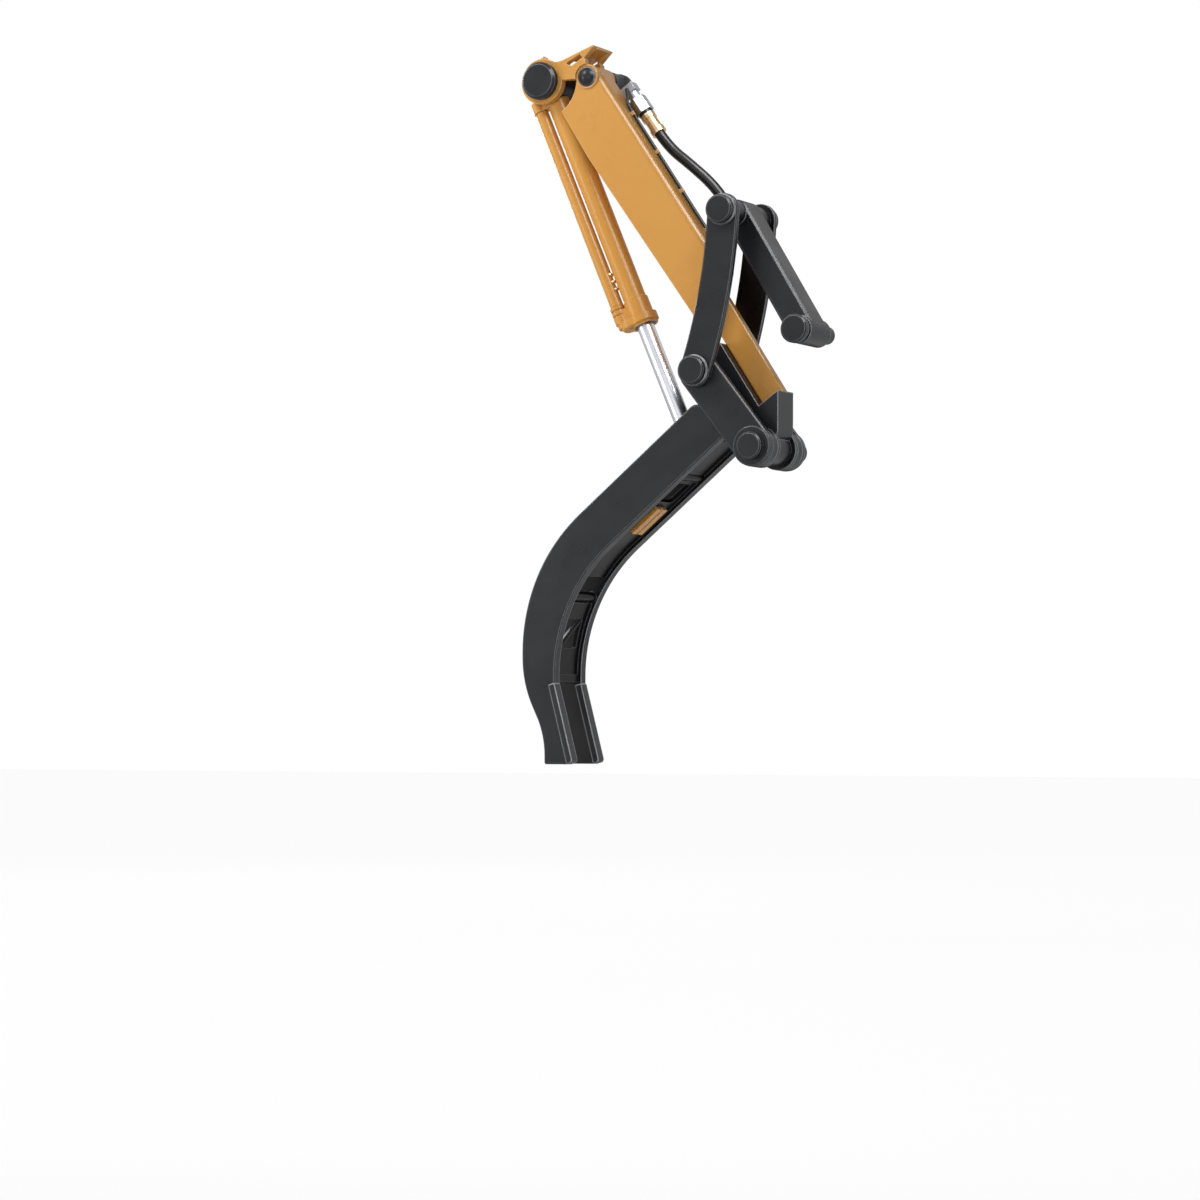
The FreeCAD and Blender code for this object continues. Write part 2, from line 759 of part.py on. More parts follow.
def thumb_web():
    """The web between the tines, in three plates, with its cross tubes, tie bar, brace and wear pad."""
    start, along, inward = inner_frame()
    centre, begin = bend_centre()
    bend_at = (start - V(centre.x, 0, centre.z)).dot(along) * -1
    save("web_top", web_slab(web_start, web_cross_at - cross_tube_r, web_recess, web_t))

    straight = web_slab(web_cross_at + cross_tube_r, bend_at, web_recess, web_t)
    curved = web_curve(0, web_split_turn, web_recess, web_t)
    window = Part.makeBox(web_window_length, 2 * (tine_in - web_window_side), 4 * web_t)
    window = window.makeFillet(14, [e for e in window.Edges if e.BoundBox.ZLength > 3 * web_t])
    window.translate(V(0, -(tine_in - web_window_side), -2 * web_t))
    window.rotate(V(0, 0, 0), V(0, 1, 0), 180 - tine_slope)
    window.translate(start + along * web_window_start + inward * web_recess)
    middle = one(straight.fuse(curved).cut(window))
    save("web_middle", middle)

    low = web_curve(low_web_turn, web_end_turn, web_recess, web_t)
    slot = web_curve(low_web_turn + 6, web_end_turn - 9, web_recess - 1, web_t + 2, tine_in - low_web_side)
    low = one(low.cut(slot))
    save("web_low", low)

    tube_points = []
    point = start + along * web_cross_at + inward * (web_recess + web_t / 2)
    tube_points.append(point)
    angle = math.radians(begin + low_tube_turn)
    radius = inner_bend_r + web_recess + web_t / 2
    tube_points.append(V(centre.x + radius * math.cos(angle), 0, centre.z + radius * math.sin(angle)))
    save("cross_tubes", *[disc(p.x, p.z, cross_tube_r, -tine_in, tine_in) for p in tube_points])

    brace_turn = (low_web_turn + 6, web_end_turn - 9)
    ends = []
    for turn, y in ((brace_turn[0], tine_in - low_web_side), (brace_turn[1], low_web_side - tine_in)):
        a = math.radians(begin + turn)
        ends.append(V(centre.x + radius * math.cos(a), y, centre.z + radius * math.sin(a)))
    run = ends[1] - ends[0]
    brace = Part.makeBox(brace_w, brace_w, run.Length)
    brace.translate(V(-brace_w / 2, -brace_w / 2, 0))
    brace.Placement = FreeCAD.Placement(ends[0], FreeCAD.Rotation(V(0, 0, 1), run)).multiply(brace.Placement)
    brace = brace.common(web_curve(brace_turn[0], brace_turn[1], web_recess, web_t))
    brace = max(brace.cut(low).Solids, key=lambda s: s.Volume)

    tie_turn = web_end_turn + math.degrees(tie_w / 2 / (inner_bend_r + web_recess))
    tie = web_curve(web_end_turn, 2 * tie_turn - web_end_turn, web_recess - 4, web_t + 8)
    save("web_bars", brace, tie)

    pad = web_slab(pad_at - pad_length / 2, pad_at + pad_length / 2, web_recess - pad_t, pad_t, pad_width / 2)
    groove_low = web_recess - pad_t - 1
    groove = web_slab(pad_at - pad_length, pad_at + pad_length, groove_low, pad_groove_depth + 1, pad_groove_w / 2)
    save("web_pad", one(pad.cut(groove)))


def rod_lugs():
    """Two lugs on the web with a hole lengthened away from the main pin."""
    start, along, inward = inner_frame()
    slot_start = rod_point + V(slot_forth, 0, slot_drop)
    slot_end = rod_point + V(-slot_back, 0, slot_drop)
    reach = (rod_point - start).dot(along)
    foot_a = start + along * (reach - lug_r * 1.3) + inward * (web_recess + web_t)
    foot_b = start + along * (reach + lug_r * 0.95) + inward * (web_recess + web_t)
    hole = rod_pin_r + slot_clearance
    lugs = []
    for name, side in SIDES:
        y0, y1 = between(side, lug_inner_gap / 2, lug_inner_gap / 2 + lug_t)
        head = capsule(slot_start.x, slot_start.z, slot_end.x, slot_end.z, lug_r, y0, y1)
        root = plate([
            (foot_a.x, foot_a.z),
            (foot_b.x, foot_b.z),
            (slot_end.x, slot_end.z),
            (slot_start.x, slot_start.z),
        ], y0, y1)
        lug = one(head.fuse(root))
        below = web_slab(-tine_depth, 4 * tine_depth, -3 * tine_depth, 3 * tine_depth + web_recess + web_t)
        lug = lug.cut(below)
        lug = lug.cut(capsule(slot_start.x, slot_start.z, slot_end.x, slot_end.z, hole, y0, y1))
        lugs.append(one(lug))
    save("rod_lugs", *lugs)


# Cylinder
def round_edge(shape, centre):
    """The round edge of a shape about a point."""
    for edge in shape.Edges:
        if hasattr(edge.Curve, "Radius") and edge.Curve.Center.distanceToPoint(centre) < 1e-3:
            return edge
    return None


def end_bevel(shape, point, size):
    """Chamfer the edges that lie on the cylinder's cross plane through a point."""
    edges = []
    for edge in shape.Edges:
        flat = all(abs((v.Point - point).dot(down_rod)) < 1e-4 for v in edge.Vertexes)
        if flat:
            edges.append(edge)
    return shape.makeChamfer(size, edges)


def rod_bar(radius, first, last, offset=0.0, shift=0.0):
    """A round bar along the cylinder, between two distances from the base pin."""
    point = base_point + down_rod * first + beside_rod * offset + V(0, shift, 0)
    return Part.makeCylinder(radius, last - first, point, down_rod)


def cylinder():
    """Barrel with its base eye, head and outside port tube, and the rod with its piston and eye."""
    barrel = rod_bar(barrel_r, barrel_start, head_start)
    barrel = barrel.cut(disc(base_x, base_z, eye_r, -eye_length / 2, eye_length / 2))
    barrel = barrel.cut(rod_bar(barrel_bore_r, eye_r + 12, head_start + 1))
    save("barrel", one(barrel))
    half = eye_length / 2
    save("base_eye", ring(base_x, base_z, eye_r, base_pin_r + pin_play, -half, half))

    turn = FreeCAD.Rotation(V(0, -1, 0), beside_rod, down_rod, "ZYX")
    flange_start = head_end - flange_l
    head = rod_bar(head_r, head_start, flange_start)
    head = head.makeChamfer(head_bevel, [round_edge(head, base_point + down_rod * head_start)])
    flange = rod_bar(flange_r, flange_start, head_end)
    lobe = rod_bar(flange_lobe_r, flange_start, head_end, flange_lobe_offset, port_shift)
    side = Part.makeBox(2 * flange_lobe_r, flange_lobe_offset, flange_l, V(-flange_lobe_r, 0, 0))
    side.Placement = FreeCAD.Placement(base_point + down_rod * flange_start + V(0, port_shift, 0), turn)
    flange = one(flange.fuse([lobe, side]))
    flange = end_bevel(flange, base_point + down_rod * head_end, flange_edge)
    boss = rod_bar(port_boss_r, head_start, port_boss_end, port_offset, port_shift)
    for i in range(2):
        at = head_start + 8 + i * 3 * head_groove_w
        groove = rod_bar(port_boss_r + 5, at, at + head_groove_w, port_offset, port_shift)
        core = rod_bar(port_boss_r - head_groove_depth, at, at + head_groove_w, port_offset, port_shift)
        boss = boss.cut(groove.cut(core))
    bridge = Part.makeBox(port_bridge_w, port_offset, port_boss_end - head_start - 14, V(-port_bridge_w / 2, 0, 0))
    bridge.Placement = FreeCAD.Placement(base_point + down_rod * (head_start + 14) + V(0, port_shift, 0), turn)
    low = rod_bar(port_boss_r, port_boss_end - 1, head_end - flange_l / 2, port_offset - port_bevel, port_shift)
    head = one(head.fuse([flange, boss, bridge, low]))
    head = head.fuse(rod_bar(gland_r, head_end, head_end + gland_t))
    head = head.cut(rod_bar(rod_r + pin_play, head_start - 1, head_end + gland_t + 1))
    head = head.cut(rod_bar(wiper_r, head_end + gland_t - wiper_t, head_end + gland_t + 1))
    save("cylinder_head", one(head))
    wiper = rod_bar(wiper_r, head_end + gland_t - wiper_t, head_end + gland_t)
    save("rod_wiper", one(wiper.cut(rod_bar(rod_r + pin_play, head_end, head_end + gland_t + 1))))

    tube = rod_bar(port_tube_r, port_start, head_start, port_offset, port_shift)
    save("port_tube", one(tube.cut(rod_bar(port_bore_r, port_start, head_start, port_offset, port_shift))))
    elbow = rod_bar(port_boss_r, port_start - port_block_l, port_start, port_offset, port_shift)
    neck = Part.makeBox(2 * port_tube_r, port_offset, port_block_l, V(-port_tube_r, 0, 0))
    neck.Placement = FreeCAD.Placement(base_point + down_rod * (port_start - port_block_l) + V(0, port_shift, 0), turn)
    elbow = one(elbow.fuse(neck))
    elbow = elbow.cut(disc(base_x, base_z, eye_r, -eye_length, eye_length))
    elbow = elbow.cut(rod_bar(barrel_r, 0, head_start))
    save("base_port", max(elbow.Solids, key=lambda s: s.Volume))

    gap_start = barrel_r
    spacers = []
    toward = beside_rod * port_offset + V(0, port_shift, 0)
    clear = toward.Length
    direction = V(toward.x, toward.y, toward.z).normalize()
    for i in range(spacer_count):
        at = base_point + down_rod * (spacer_first + i * spacer_pitch)
        spacer = Part.makeCylinder(spacer_r, clear - gap_start, at + direction * gap_start, direction)
        spacer = spacer.cut(rod_bar(port_tube_r, port_start, head_start, port_offset, port_shift))
        spacer = spacer.cut(rod_bar(barrel_r, port_start, head_start))
        spacers.append(max(spacer.Solids, key=lambda s: s.Volume))
    save("tube_spacers", *spacers)

    eye_half = lug_inner_gap / 2 - rod_eye_gap
    rod = rod_bar(rod_r, head_start - rod_inside, rod_reach)
    rod = rod.cut(disc(rod_point.x, rod_point.z, rod_eye_r, -eye_half, eye_half))
    save("rod", max(rod.Solids, key=lambda s: s.Volume))
    save("piston", rod_bar(piston_r, head_start - rod_inside - piston_l, head_start - rod_inside))
    save("rod_eye", ring(rod_point.x, rod_point.z, rod_eye_r, rod_pin_r, -eye_half, eye_half))
    reach = lug_inner_gap / 2 + lug_t - 1
    save("rod_pin", disc(rod_point.x, rod_point.z, rod_pin_r, -reach, reach))


# Linkage
def idlers():
    """Two bowed idler links with the joint pin through their upper ends."""
    chord = V(joint_x - idler_x, 0, joint_z - idler_z)
    middle = V((joint_x + idler_x) / 2, 0, (joint_z + idler_z) / 2)
    side_way = V(chord.z, 0, -chord.x).normalize()
    bow_point = middle + side_way * idler_bow
    bow_r = (chord.Length ** 2 / 4 + idler_bow ** 2) / (2 * idler_bow)
    centre = bow_point - side_way * bow_r
    up = chord.normalize()
    for name, side in SIDES:
        y0, y1 = between(side, idler_in, idler_out)

        def at(pivot_x, pivot_z, offset):
            out = V(pivot_x - centre.x, 0, pivot_z - centre.z).normalize()
            return V(pivot_x, y0, pivot_z) + out * offset

        lift = V(0, y0, 0)
        edges = [
            Part.Arc(at(idler_x, idler_z, idler_r), bow_point + lift + side_way * idler_r,
                     at(joint_x, joint_z, idler_r)).toShape(),
            Part.Arc(at(joint_x, joint_z, idler_r), V(joint_x, y0, joint_z) + up * idler_r,
                     at(joint_x, joint_z, -idler_r)).toShape(),
            Part.Arc(at(joint_x, joint_z, -idler_r), bow_point + lift - side_way * idler_r,
                     at(idler_x, idler_z, -idler_r)).toShape(),
            Part.Arc(at(idler_x, idler_z, -idler_r), V(idler_x, y0, idler_z) - up * idler_r,
                     at(idler_x, idler_z, idler_r)).toShape(),
        ]
        link = Part.Face(Part.Wire(edges)).extrude(V(0, y1 - y0, 0))
        link = bevel_outside(link, y1 if side > 0 else y0, idler_edge)
        link = link.cut(disc(idler_x, idler_z, idler_pin_r + pin_play, y0, y1))
        save("idler_" + name, link.cut(disc(joint_x, joint_z, joint_pin_r, y0, y1)))
    end = idler_out + 2 * washer_t
    save("joint_pin", disc(joint_x, joint_z, joint_pin_r, -end, end))
    both = washers(joint_x, joint_z, washer_r, joint_pin_r, idler_out, -1)
    both += washers(joint_x, joint_z, washer_r, joint_pin_r, idler_out, 1)
    save("joint_pin_caps", *both, *pin_caps(joint_x, joint_z, end))


def bucket_link():
    """The link from the joint pin to the bucket pin, whose free end stands out past its boss."""
    half = link_depth / 2
    body = capsule(joint_x, joint_z, bucket_x, bucket_z, link_w / 2, -half, half)
    body = bevel_outside(bevel_outside(body, -half, link_edge), half, link_edge)
    tube_half = idler_in - side_gap
    boss_half = link_boss_length / 2
    body = body.fuse(disc(joint_x, joint_z, link_tube_r, -tube_half, tube_half))
    body = one(body.fuse(disc(bucket_x, bucket_z, link_eye_r, -boss_half, boss_half)))
    body = body.cut(disc(joint_x, joint_z, joint_pin_r + pin_play, -tube_half, tube_half))
    body = body.cut(disc(bucket_x, bucket_z, bucket_pin_r, -boss_half, boss_half))
    save("bucket_link", one(body))
    near_end = boss_half + bucket_collar_t
    seat_end = boss_half + bucket_seat
    save("bucket_pin", free_pin(bucket_x, bucket_z, bucket_pin_r, -near_end, seat_end, boss_half + bucket_stub, 4))
    collar = ring(bucket_x, bucket_z, bucket_collar_r, bucket_pin_r, -near_end, -boss_half)
    end_cap = cap(bucket_x, bucket_z, cap_r, cap_t, cap_edge, near_end, -1)
    save("bucket_pin_cap", one(end_cap.fuse(collar)))


# Hydraulics on the arm
def cord_wire(points):
    """A path of straight runs joined by arcs, each as large as its two runs allow."""
    route = [V(*p) for p in points]
    radii = [0.0]
    for i in range(1, len(route) - 1):
        back = route[i - 1] - route[i]
        ahead = route[i + 1] - route[i]
        turn = math.pi - back.getAngle(ahead)
        radii.append(bend_share * min(back.Length, ahead.Length) / math.tan(turn / 2))
    radii.append(0.0)
    print("hose bend radii:", [round(r) for r in radii[1:-1]])
    return Part.Wire(rounded_edges(route, radii, False))


def swept_bar(points, radius):
    """A round bar along a path."""
    wire = cord_wire(points)
    first = V(*points[0])
    heading = V(*points[1]) - first
    circle = Part.Wire(Part.makeCircle(radius, first, heading))
    bar = wire.makePipeShell([circle], True, False)
    print("hose volume ratio:", round(bar.Volume / (math.pi * radius ** 2 * wire.Length), 5))
    print("hose length:", round(wire.Length))
    return bar


def on_line(point, heading, radius, first, last):
    """A round bar on a line, between two distances from a point."""
    return Part.makeCylinder(radius, last - first, point + heading * first, heading)


def hose_set():
    """The hose that bows out behind the arm, its couplings and the block it starts from."""
    save("hose", swept_bar(hose_route, hose_r))
    start = V(*hose_route[0])
    back = (start - V(*hose_route[1])).normalize()
    seal_at = collar_l
    hex_at = seal_at + seal_l
    nut_at = hex_at + hex_l
    block_at = nut_at + nut_l
    brass = on_line(start, back, collar_r, 0, collar_l)
    brass = brass.fuse(on_line(start, back, collar_rim_r, 0, collar_rim_l))
    brass = brass.fuse(on_line(start, back, collar_rim_r, collar_l - collar_rim_l, collar_l))
    save("brass_collar", one(brass))
    save("coupling_seal", on_line(start, back, seal_r, seal_at, hex_at))
    corners = []
    side_b = back.cross(ACROSS).normalize()
    side_a = side_b.cross(back)
    for i in range(7):
        angle = math.radians(60 * i)
        spoke = side_a * math.cos(angle) + side_b * math.sin(angle)
        corners.append(start + back * hex_at + spoke * (hex_half / math.cos(math.radians(30))))
    nut = Part.Face(Part.makePolygon(corners)).extrude(back * hex_l)
    nut = nut.fuse(on_line(start, back, nut_r, nut_at, block_at))
    save("hex_coupling", one(nut))
    low = Part.makeBox(block_l, 2 * block_half, 3.4 * block_half, V(0, -block_half, -1.1 * block_half))
    turn = FreeCAD.Rotation(back, side_a, side_b, "XYZ")
    low.Placement = FreeCAD.Placement(start + back * block_at, turn)
    keep_out = arm_body(0, shell_corner_r, 0, 0)
    save("valve_block", max(low.cut(keep_out).Solids, key=lambda s: s.Volume))

    end = V(*hose_route[-1])
    ahead = (end - V(*hose_route[-2])).normalize()
    ferrule = on_line(end, ahead, ferrule_r, 0, ferrule_l)
    seat = end + ahead * ferrule_l
    port = Part.makeBox(port_nut, 1.25 * port_nut, port_nut_l, V(-port_nut / 2, -0.625 * port_nut, 0))
    port.Placement = FreeCAD.Placement(seat, FreeCAD.Rotation(V(0, 0, 1), ahead))
    keep = Part.makeBox(200, 200, 200, V(seat.x - 100, arm_half, seat.z - 100))
    save("hose_end_fitting", ferrule, max(port.common(keep).Solids, key=lambda s: s.Volume))


def arm_pipe():
    """A thin pipe along the back of the arm, under clips."""
    lift = pipe_r + pipe_gap
    ends = []
    for station in (pipe_start, pipe_end):
        x, z = arm_point(station, back_height(station) + lift)
        ends.append(V(x, pipe_y, z))
    run = ends[1] - ends[0]
    pipe = Part.makeCylinder(pipe_r, run.Length, ends[0], run)
    save("arm_pipe", pipe)
    clips = []
    step = V(run.x, run.y, run.z).normalize()
    turn = FreeCAD.Rotation(step, ACROSS, step.cross(ACROSS), "XYZ")
    for i in range(clip_count):
        at = ends[0] + run * ((i + 0.5) / clip_count)
        arch_w = 2 * (pipe_r + clip_t)
        clip = Part.makeBox(clip_w, arch_w, 2 * pipe_r + clip_t, V(0, -arch_w / 2, -pipe_r))
        hollow = Part.makeCylinder(pipe_r, clip_w, V(0, 0, 0), V(1, 0, 0))
        below = Part.makeBox(clip_w, 2 * pipe_r, pipe_r, V(0, -pipe_r, -pipe_r))
        clip = one(clip.cut(hollow.fuse(below)))
        clip.Placement = FreeCAD.Placement(at - step * (clip_w / 2), turn)
        clips.append(clip)
    save("pipe_clips", *clips)


arm_box()
foot()
nose()
cheeks()
fixed_pins()
top_bracket()
thumb_tines()
thumb_web()
rod_lugs()
cylinder()
idlers()
bucket_link()
hose_set()
arm_pipe()
print("nodes:", len(node_solids))
for node, shape in node_solids.items():
    if not shape.isValid():
        print("not valid:", node)
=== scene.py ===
# %% [markdown]
# # A hydraulic thumb on a digger's arm
# This notebook dresses a model that was built in CAD: the end of a digger's arm
# with a curved two-tined thumb, the cylinder that moves it and a pair of idler
# links. The first lines load that model. Its solids already have the right shape
# and size. What is left is the camera, the hose and the oil pipe, the weld beads,
# a few small turned parts, the finishes and the lights.

# %% Load the model
import bpy
import bmesh
import json
import math
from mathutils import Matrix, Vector


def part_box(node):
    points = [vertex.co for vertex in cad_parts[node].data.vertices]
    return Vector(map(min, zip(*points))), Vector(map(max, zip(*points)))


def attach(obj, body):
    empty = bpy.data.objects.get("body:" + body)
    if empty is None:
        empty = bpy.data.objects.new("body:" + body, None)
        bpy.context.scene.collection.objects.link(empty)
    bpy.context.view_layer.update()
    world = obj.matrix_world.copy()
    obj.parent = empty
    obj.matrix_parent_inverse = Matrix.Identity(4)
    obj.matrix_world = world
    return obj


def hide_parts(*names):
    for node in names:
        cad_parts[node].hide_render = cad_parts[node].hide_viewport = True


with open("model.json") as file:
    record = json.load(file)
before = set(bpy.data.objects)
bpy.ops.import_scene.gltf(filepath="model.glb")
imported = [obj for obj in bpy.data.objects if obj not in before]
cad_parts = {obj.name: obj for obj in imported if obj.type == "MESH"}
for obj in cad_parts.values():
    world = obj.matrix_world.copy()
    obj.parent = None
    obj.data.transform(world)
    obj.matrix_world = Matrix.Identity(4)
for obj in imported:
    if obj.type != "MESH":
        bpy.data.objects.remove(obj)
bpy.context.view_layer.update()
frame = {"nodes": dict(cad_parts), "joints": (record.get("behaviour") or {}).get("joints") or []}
nodes = frame["nodes"]

# %% [markdown]
# The photograph was taken with a long lens from about the height of the thumb's
# tips, looking up a little, 28 degrees round from square on. A long lens keeps
# parallel edges nearly parallel, and its length follows from how much nearer
# things have grown. The camera is placed by the point it looks at, a distance and
# two angles, because those are easy to change one at a time.

# %% Camera
LOOK_AT = Vector((0.013, 0.0, -1.415))
DISTANCE = 9.65
AROUND = math.radians(28.0)
ABOVE = math.radians(-2.0)
SENSOR_MM = 36.0
LENS_MM = 107.19


def add_camera():
    """A camera at a distance and two angles from the point it looks at."""
    away = Vector((
        math.sin(AROUND) * math.cos(ABOVE),
        -math.cos(AROUND) * math.cos(ABOVE),
        math.sin(ABOVE),
    ))
    data = bpy.data.cameras.new("camera")
    data.sensor_width = SENSOR_MM
    data.lens = LENS_MM
    camera = bpy.data.objects.new("camera", data)
    camera.location = LOOK_AT + away * DISTANCE
    camera.rotation_euler = (-away).to_track_quat("-Z", "Y").to_euler()
    bpy.context.collection.objects.link(camera)
    bpy.context.scene.camera = camera
    return camera


camera = add_camera()
print("camera at", [round(v, 2) for v in camera.location])

# %% [markdown]
# The hose is a length of wire-braided rubber. It leaves its brass coupling
# straight, bows out behind the arm, and comes back to a fitting on the arm's
# side. Straight runs joined by arcs would look like bent wire, so it is a NURBS
# curve: a few control points shape one smooth line, and the bevel makes the round
# section. The order is set after the points are added, because before that
# Blender keeps it at two. The bevel is one metre, and each point's radius scales
# it down to the tube's own. The box that Blender reports for a curve counts the
# radius of its points, so that box stays as slim as the tube.

# %% The hose
HOSE_ROUTE = (
    (0.165, 0.0585, -0.1515),
    (0.194, 0.060, -0.1925),
    (0.257, 0.067, -0.244),
    (0.316, 0.084, -0.301),
    (0.354, 0.096, -0.360),
    (0.368, 0.094, -0.428),
    (0.366, 0.084, -0.490),
    (0.346, 0.074, -0.544),
)
HOSE_DIAMETER = 0.030


def round_tube(name, route, radius, roundness, steps):
    """A NURBS curve with a round section, on a line that a few control points shape."""
    curve = bpy.data.curves.new(name, "CURVE")
    curve.dimensions = "3D"
    curve.bevel_depth = 1.0
    curve.bevel_resolution = roundness
    curve.resolution_u = steps
    curve.use_fill_caps = True
    spline = curve.splines.new("NURBS")
    spline.points.add(len(route) - 1)
    for point, place in zip(spline.points, route):
        point.co = (*place, 1.0)
        point.radius = radius
    spline.order_u = 3
    spline.use_endpoint_u = True
    tube = bpy.data.objects.new(name, curve)
    bpy.context.collection.objects.link(tube)
    return tube


rubber_hose = round_tube("rubber_hose", HOSE_ROUTE, HOSE_DIAMETER / 2, roundness=8, steps=24)
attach(rubber_hose, "arm")
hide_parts("hose")

# %% [markdown]
# The finishes are made of shader nodes. The same few nodes come back in all of
# them and in the light of the studio, so they get short helpers. Colours are
# written as they look on screen, from 0 to 255. A shader counts light instead,
# and middle grey on screen is only a fifth of the light of white, so `colour`
# converts them.

# %% Helpers for shader nodes
def colour(red, green, blue):
    """A colour given as it looks on screen, from 0 to 255, as the shader wants it."""
    linear = []
    for value in (red, green, blue):
        share = value / 255
        linear.append(share / 12.92 if share <= 0.04045 else ((share + 0.055) / 1.055) ** 2.4)
    return (*linear, 1.0)


def maths(tree, operation, one, two=None):
    """A sum, product and so on of outputs or plain numbers."""
    node = tree.nodes.new("ShaderNodeMath")
    node.operation = operation
    for entry, value in zip(node.inputs, (one, two)):
        if isinstance(value, float):
            entry.default_value = value
        elif value is not None:
            tree.links.new(value, entry)
    return node.outputs["Value"]


def agreement(tree, one, two):
    """How far two directions agree: 1 when they are the same, 0 when they are square to each other."""
    node = tree.nodes.new("ShaderNodeVectorMath")
    node.operation = "DOT_PRODUCT"
    tree.links.new(one, node.inputs[0])
    if isinstance(two, (tuple, Vector)):
        node.inputs[1].default_value = two
    else:
        tree.links.new(two, node.inputs[1])
    return node.outputs["Value"]


def ramp(tree, value, low, high, start=0.0, end=1.0):
    """A value spread from low..high to start..end, and held there."""
    spread = tree.nodes.new("ShaderNodeMapRange")
    spread.inputs["From Min"].default_value = low
    spread.inputs["From Max"].default_value = high
    spread.inputs["To Min"].default_value = start
    spread.inputs["To Max"].default_value = end
    tree.links.new(value, spread.inputs["Value"])
    return spread.outputs["Result"]


print("middle grey is", round(colour(128, 128, 128)[0], 2), "of the light of white")

# %% [markdown]
# A `Finish` is a material with its principled shader and a place in metres.
# Noise that follows that place has the same size on a long plate and on a small
# pin. `grain` is plain noise, `clouds` drift softly from one value to another,
# `patches` come up only where the noise is high, and `blend` lays one colour over
# another through a mask.

# %% A finish and its noise
NOISE_ROUGHNESS = 0.55
CLOUDS_LOW = 0.3
CLOUDS_HIGH = 0.7


class Finish:
    """A material with its node tree, its principled shader and short ways to add nodes."""

    def __init__(self, name):
        self.material = bpy.data.materials.new(name)
        self.material.use_nodes = True
        self.tree = self.material.node_tree
        self.shader = self.tree.nodes["Principled BSDF"]
        self.place = self.add("ShaderNodeTexCoord").outputs["Object"]

    def add(self, kind):
        """A new node."""
        return self.tree.nodes.new(kind)

    def link(self, output, entry):
        """A wire from an output to an input."""
        self.tree.links.new(output, entry)

    def feed(self, socket, output):
        """A wire from an output to one of the shader's own sockets."""
        self.link(output, self.shader.inputs[socket])

    def fix(self, socket, value):
        """One value all over the surface, set on the shader's own socket."""
        self.shader.inputs[socket].default_value = value

    def ramp(self, value, low, high, start=0.0, end=1.0):
        """A value spread from low..high to start..end, and held there."""
        return ramp(self.tree, value, low, high, start, end)

    def grain(self, scale, detail=4.0, place=None):
        """Noise from 0 to 1."""
        noise = self.add("ShaderNodeTexNoise")
        noise.inputs["Scale"].default_value = scale
        noise.inputs["Detail"].default_value = detail
        noise.inputs["Roughness"].default_value = NOISE_ROUGHNESS
        self.link(place or self.place, noise.inputs["Vector"])
        return noise.outputs["Fac"]

    def clouds(self, scale, start=0.0, end=1.0, detail=4.0, place=None):
        """A soft drift from start to end: noise, spread over the values that it mostly has."""
        return self.ramp(self.grain(scale, detail, place), CLOUDS_LOW, CLOUDS_HIGH, start, end)

    def patches(self, scale, low, high, most=1.0, detail=4.0):
        """Patches that begin where the noise passes low and reach their most where it passes high."""
        return self.ramp(self.grain(scale, detail), low, high, 0.0, most)

    def blend(self, mask, below, above):
        """Colour below where the mask is 0 and above where it is 1."""
        mix = self.add("ShaderNodeMix")
        mix.data_type = "RGBA"
        self.link(mask, mix.inputs["Factor"])
        for entry, value in ((mix.inputs["A"], below), (mix.inputs["B"], above)):
            if isinstance(value, tuple):
                entry.default_value = value
            else:
                self.link(value, entry)
        return mix.outputs["Result"]


print("a cloud keeps what noise has between", CLOUDS_LOW, "and", CLOUDS_HIGH)

# %% [markdown]
# Paint wears first on the corners of a plate. They could be painted by hand, but
# a mask can find them: it compares the surface normal with the one that the
# Bevel node rounds off, and where the two part, there is a corner. The light
# colour on the corners is partly wear and partly a painted highlight: the mask is
# strongest where the corners look up and back, where the light catches them. A
# second mask paints shade on the faces that look towards the middle plane, where
# the plates shade each other. The same rounded normal carries a small relief, so
# that sharp CAD edges catch light as real ones do.

# %% Worn and highlit corners, painted inner shade and relief
CORNER_SAMPLES = 8
# Painted highlight: corners are lit brightest where they face this way, up and back.
HIGHLIGHT_WAY = (0.72, -0.18, 0.67)
TURNED_AWAY = -0.15
TURNED_TOWARD = 0.45
LEAST_BRIGHT = 0.22
WEAR_LOW = 0.30
WEAR_HIGH = 0.60
INNER_FROM = -0.02
INNER_FULL = -0.05


def rounded_normal(finish, radius):
    """The surface normal, with the solid's corners rounded off at a radius in metres."""
    soft = finish.add("ShaderNodeBevel")
    soft.samples = CORNER_SAMPLES
    soft.inputs["Radius"].default_value = radius
    return soft.outputs["Normal"]


def worn_and_highlit_corners(finish, width, faint, full, patches, least):
    """Wear and painted highlight along corners, about that wide in metres, brightest where they face up
    and back, in patches that never fall below the least.
    """
    soft = rounded_normal(finish, width)
    sharp = finish.add("ShaderNodeNewGeometry").outputs["Normal"]
    corner = finish.ramp(agreement(finish.tree, soft, sharp), faint, full)
    # painted highlight: corners that face up and back get more of the light colour
    turned_to = agreement(finish.tree, soft, HIGHLIGHT_WAY)
    bright = finish.ramp(turned_to, TURNED_AWAY, TURNED_TOWARD, LEAST_BRIGHT, 1.0)
    patchy = finish.ramp(finish.grain(patches, detail=2.0), WEAR_LOW, WEAR_HIGH, least, 1.0)
    return maths(finish.tree, "MULTIPLY", maths(finish.tree, "MULTIPLY", corner, bright), patchy)


def painted_inner_shade(finish):
    """Painted shade: white on the faces that look towards the middle plane, where the plates shade each
    other.
    """
    normal = finish.add("ShaderNodeSeparateXYZ")
    finish.link(finish.add("ShaderNodeTexCoord").outputs["Normal"], normal.inputs["Vector"])
    place = finish.add("ShaderNodeSeparateXYZ")
    finish.link(finish.place, place.inputs["Vector"])
    # painted shade: faces that look towards the middle plane are darkened
    outward = maths(finish.tree, "MULTIPLY", normal.outputs["Y"], place.outputs["Y"])
    return finish.ramp(outward, INNER_FROM, INNER_FULL)


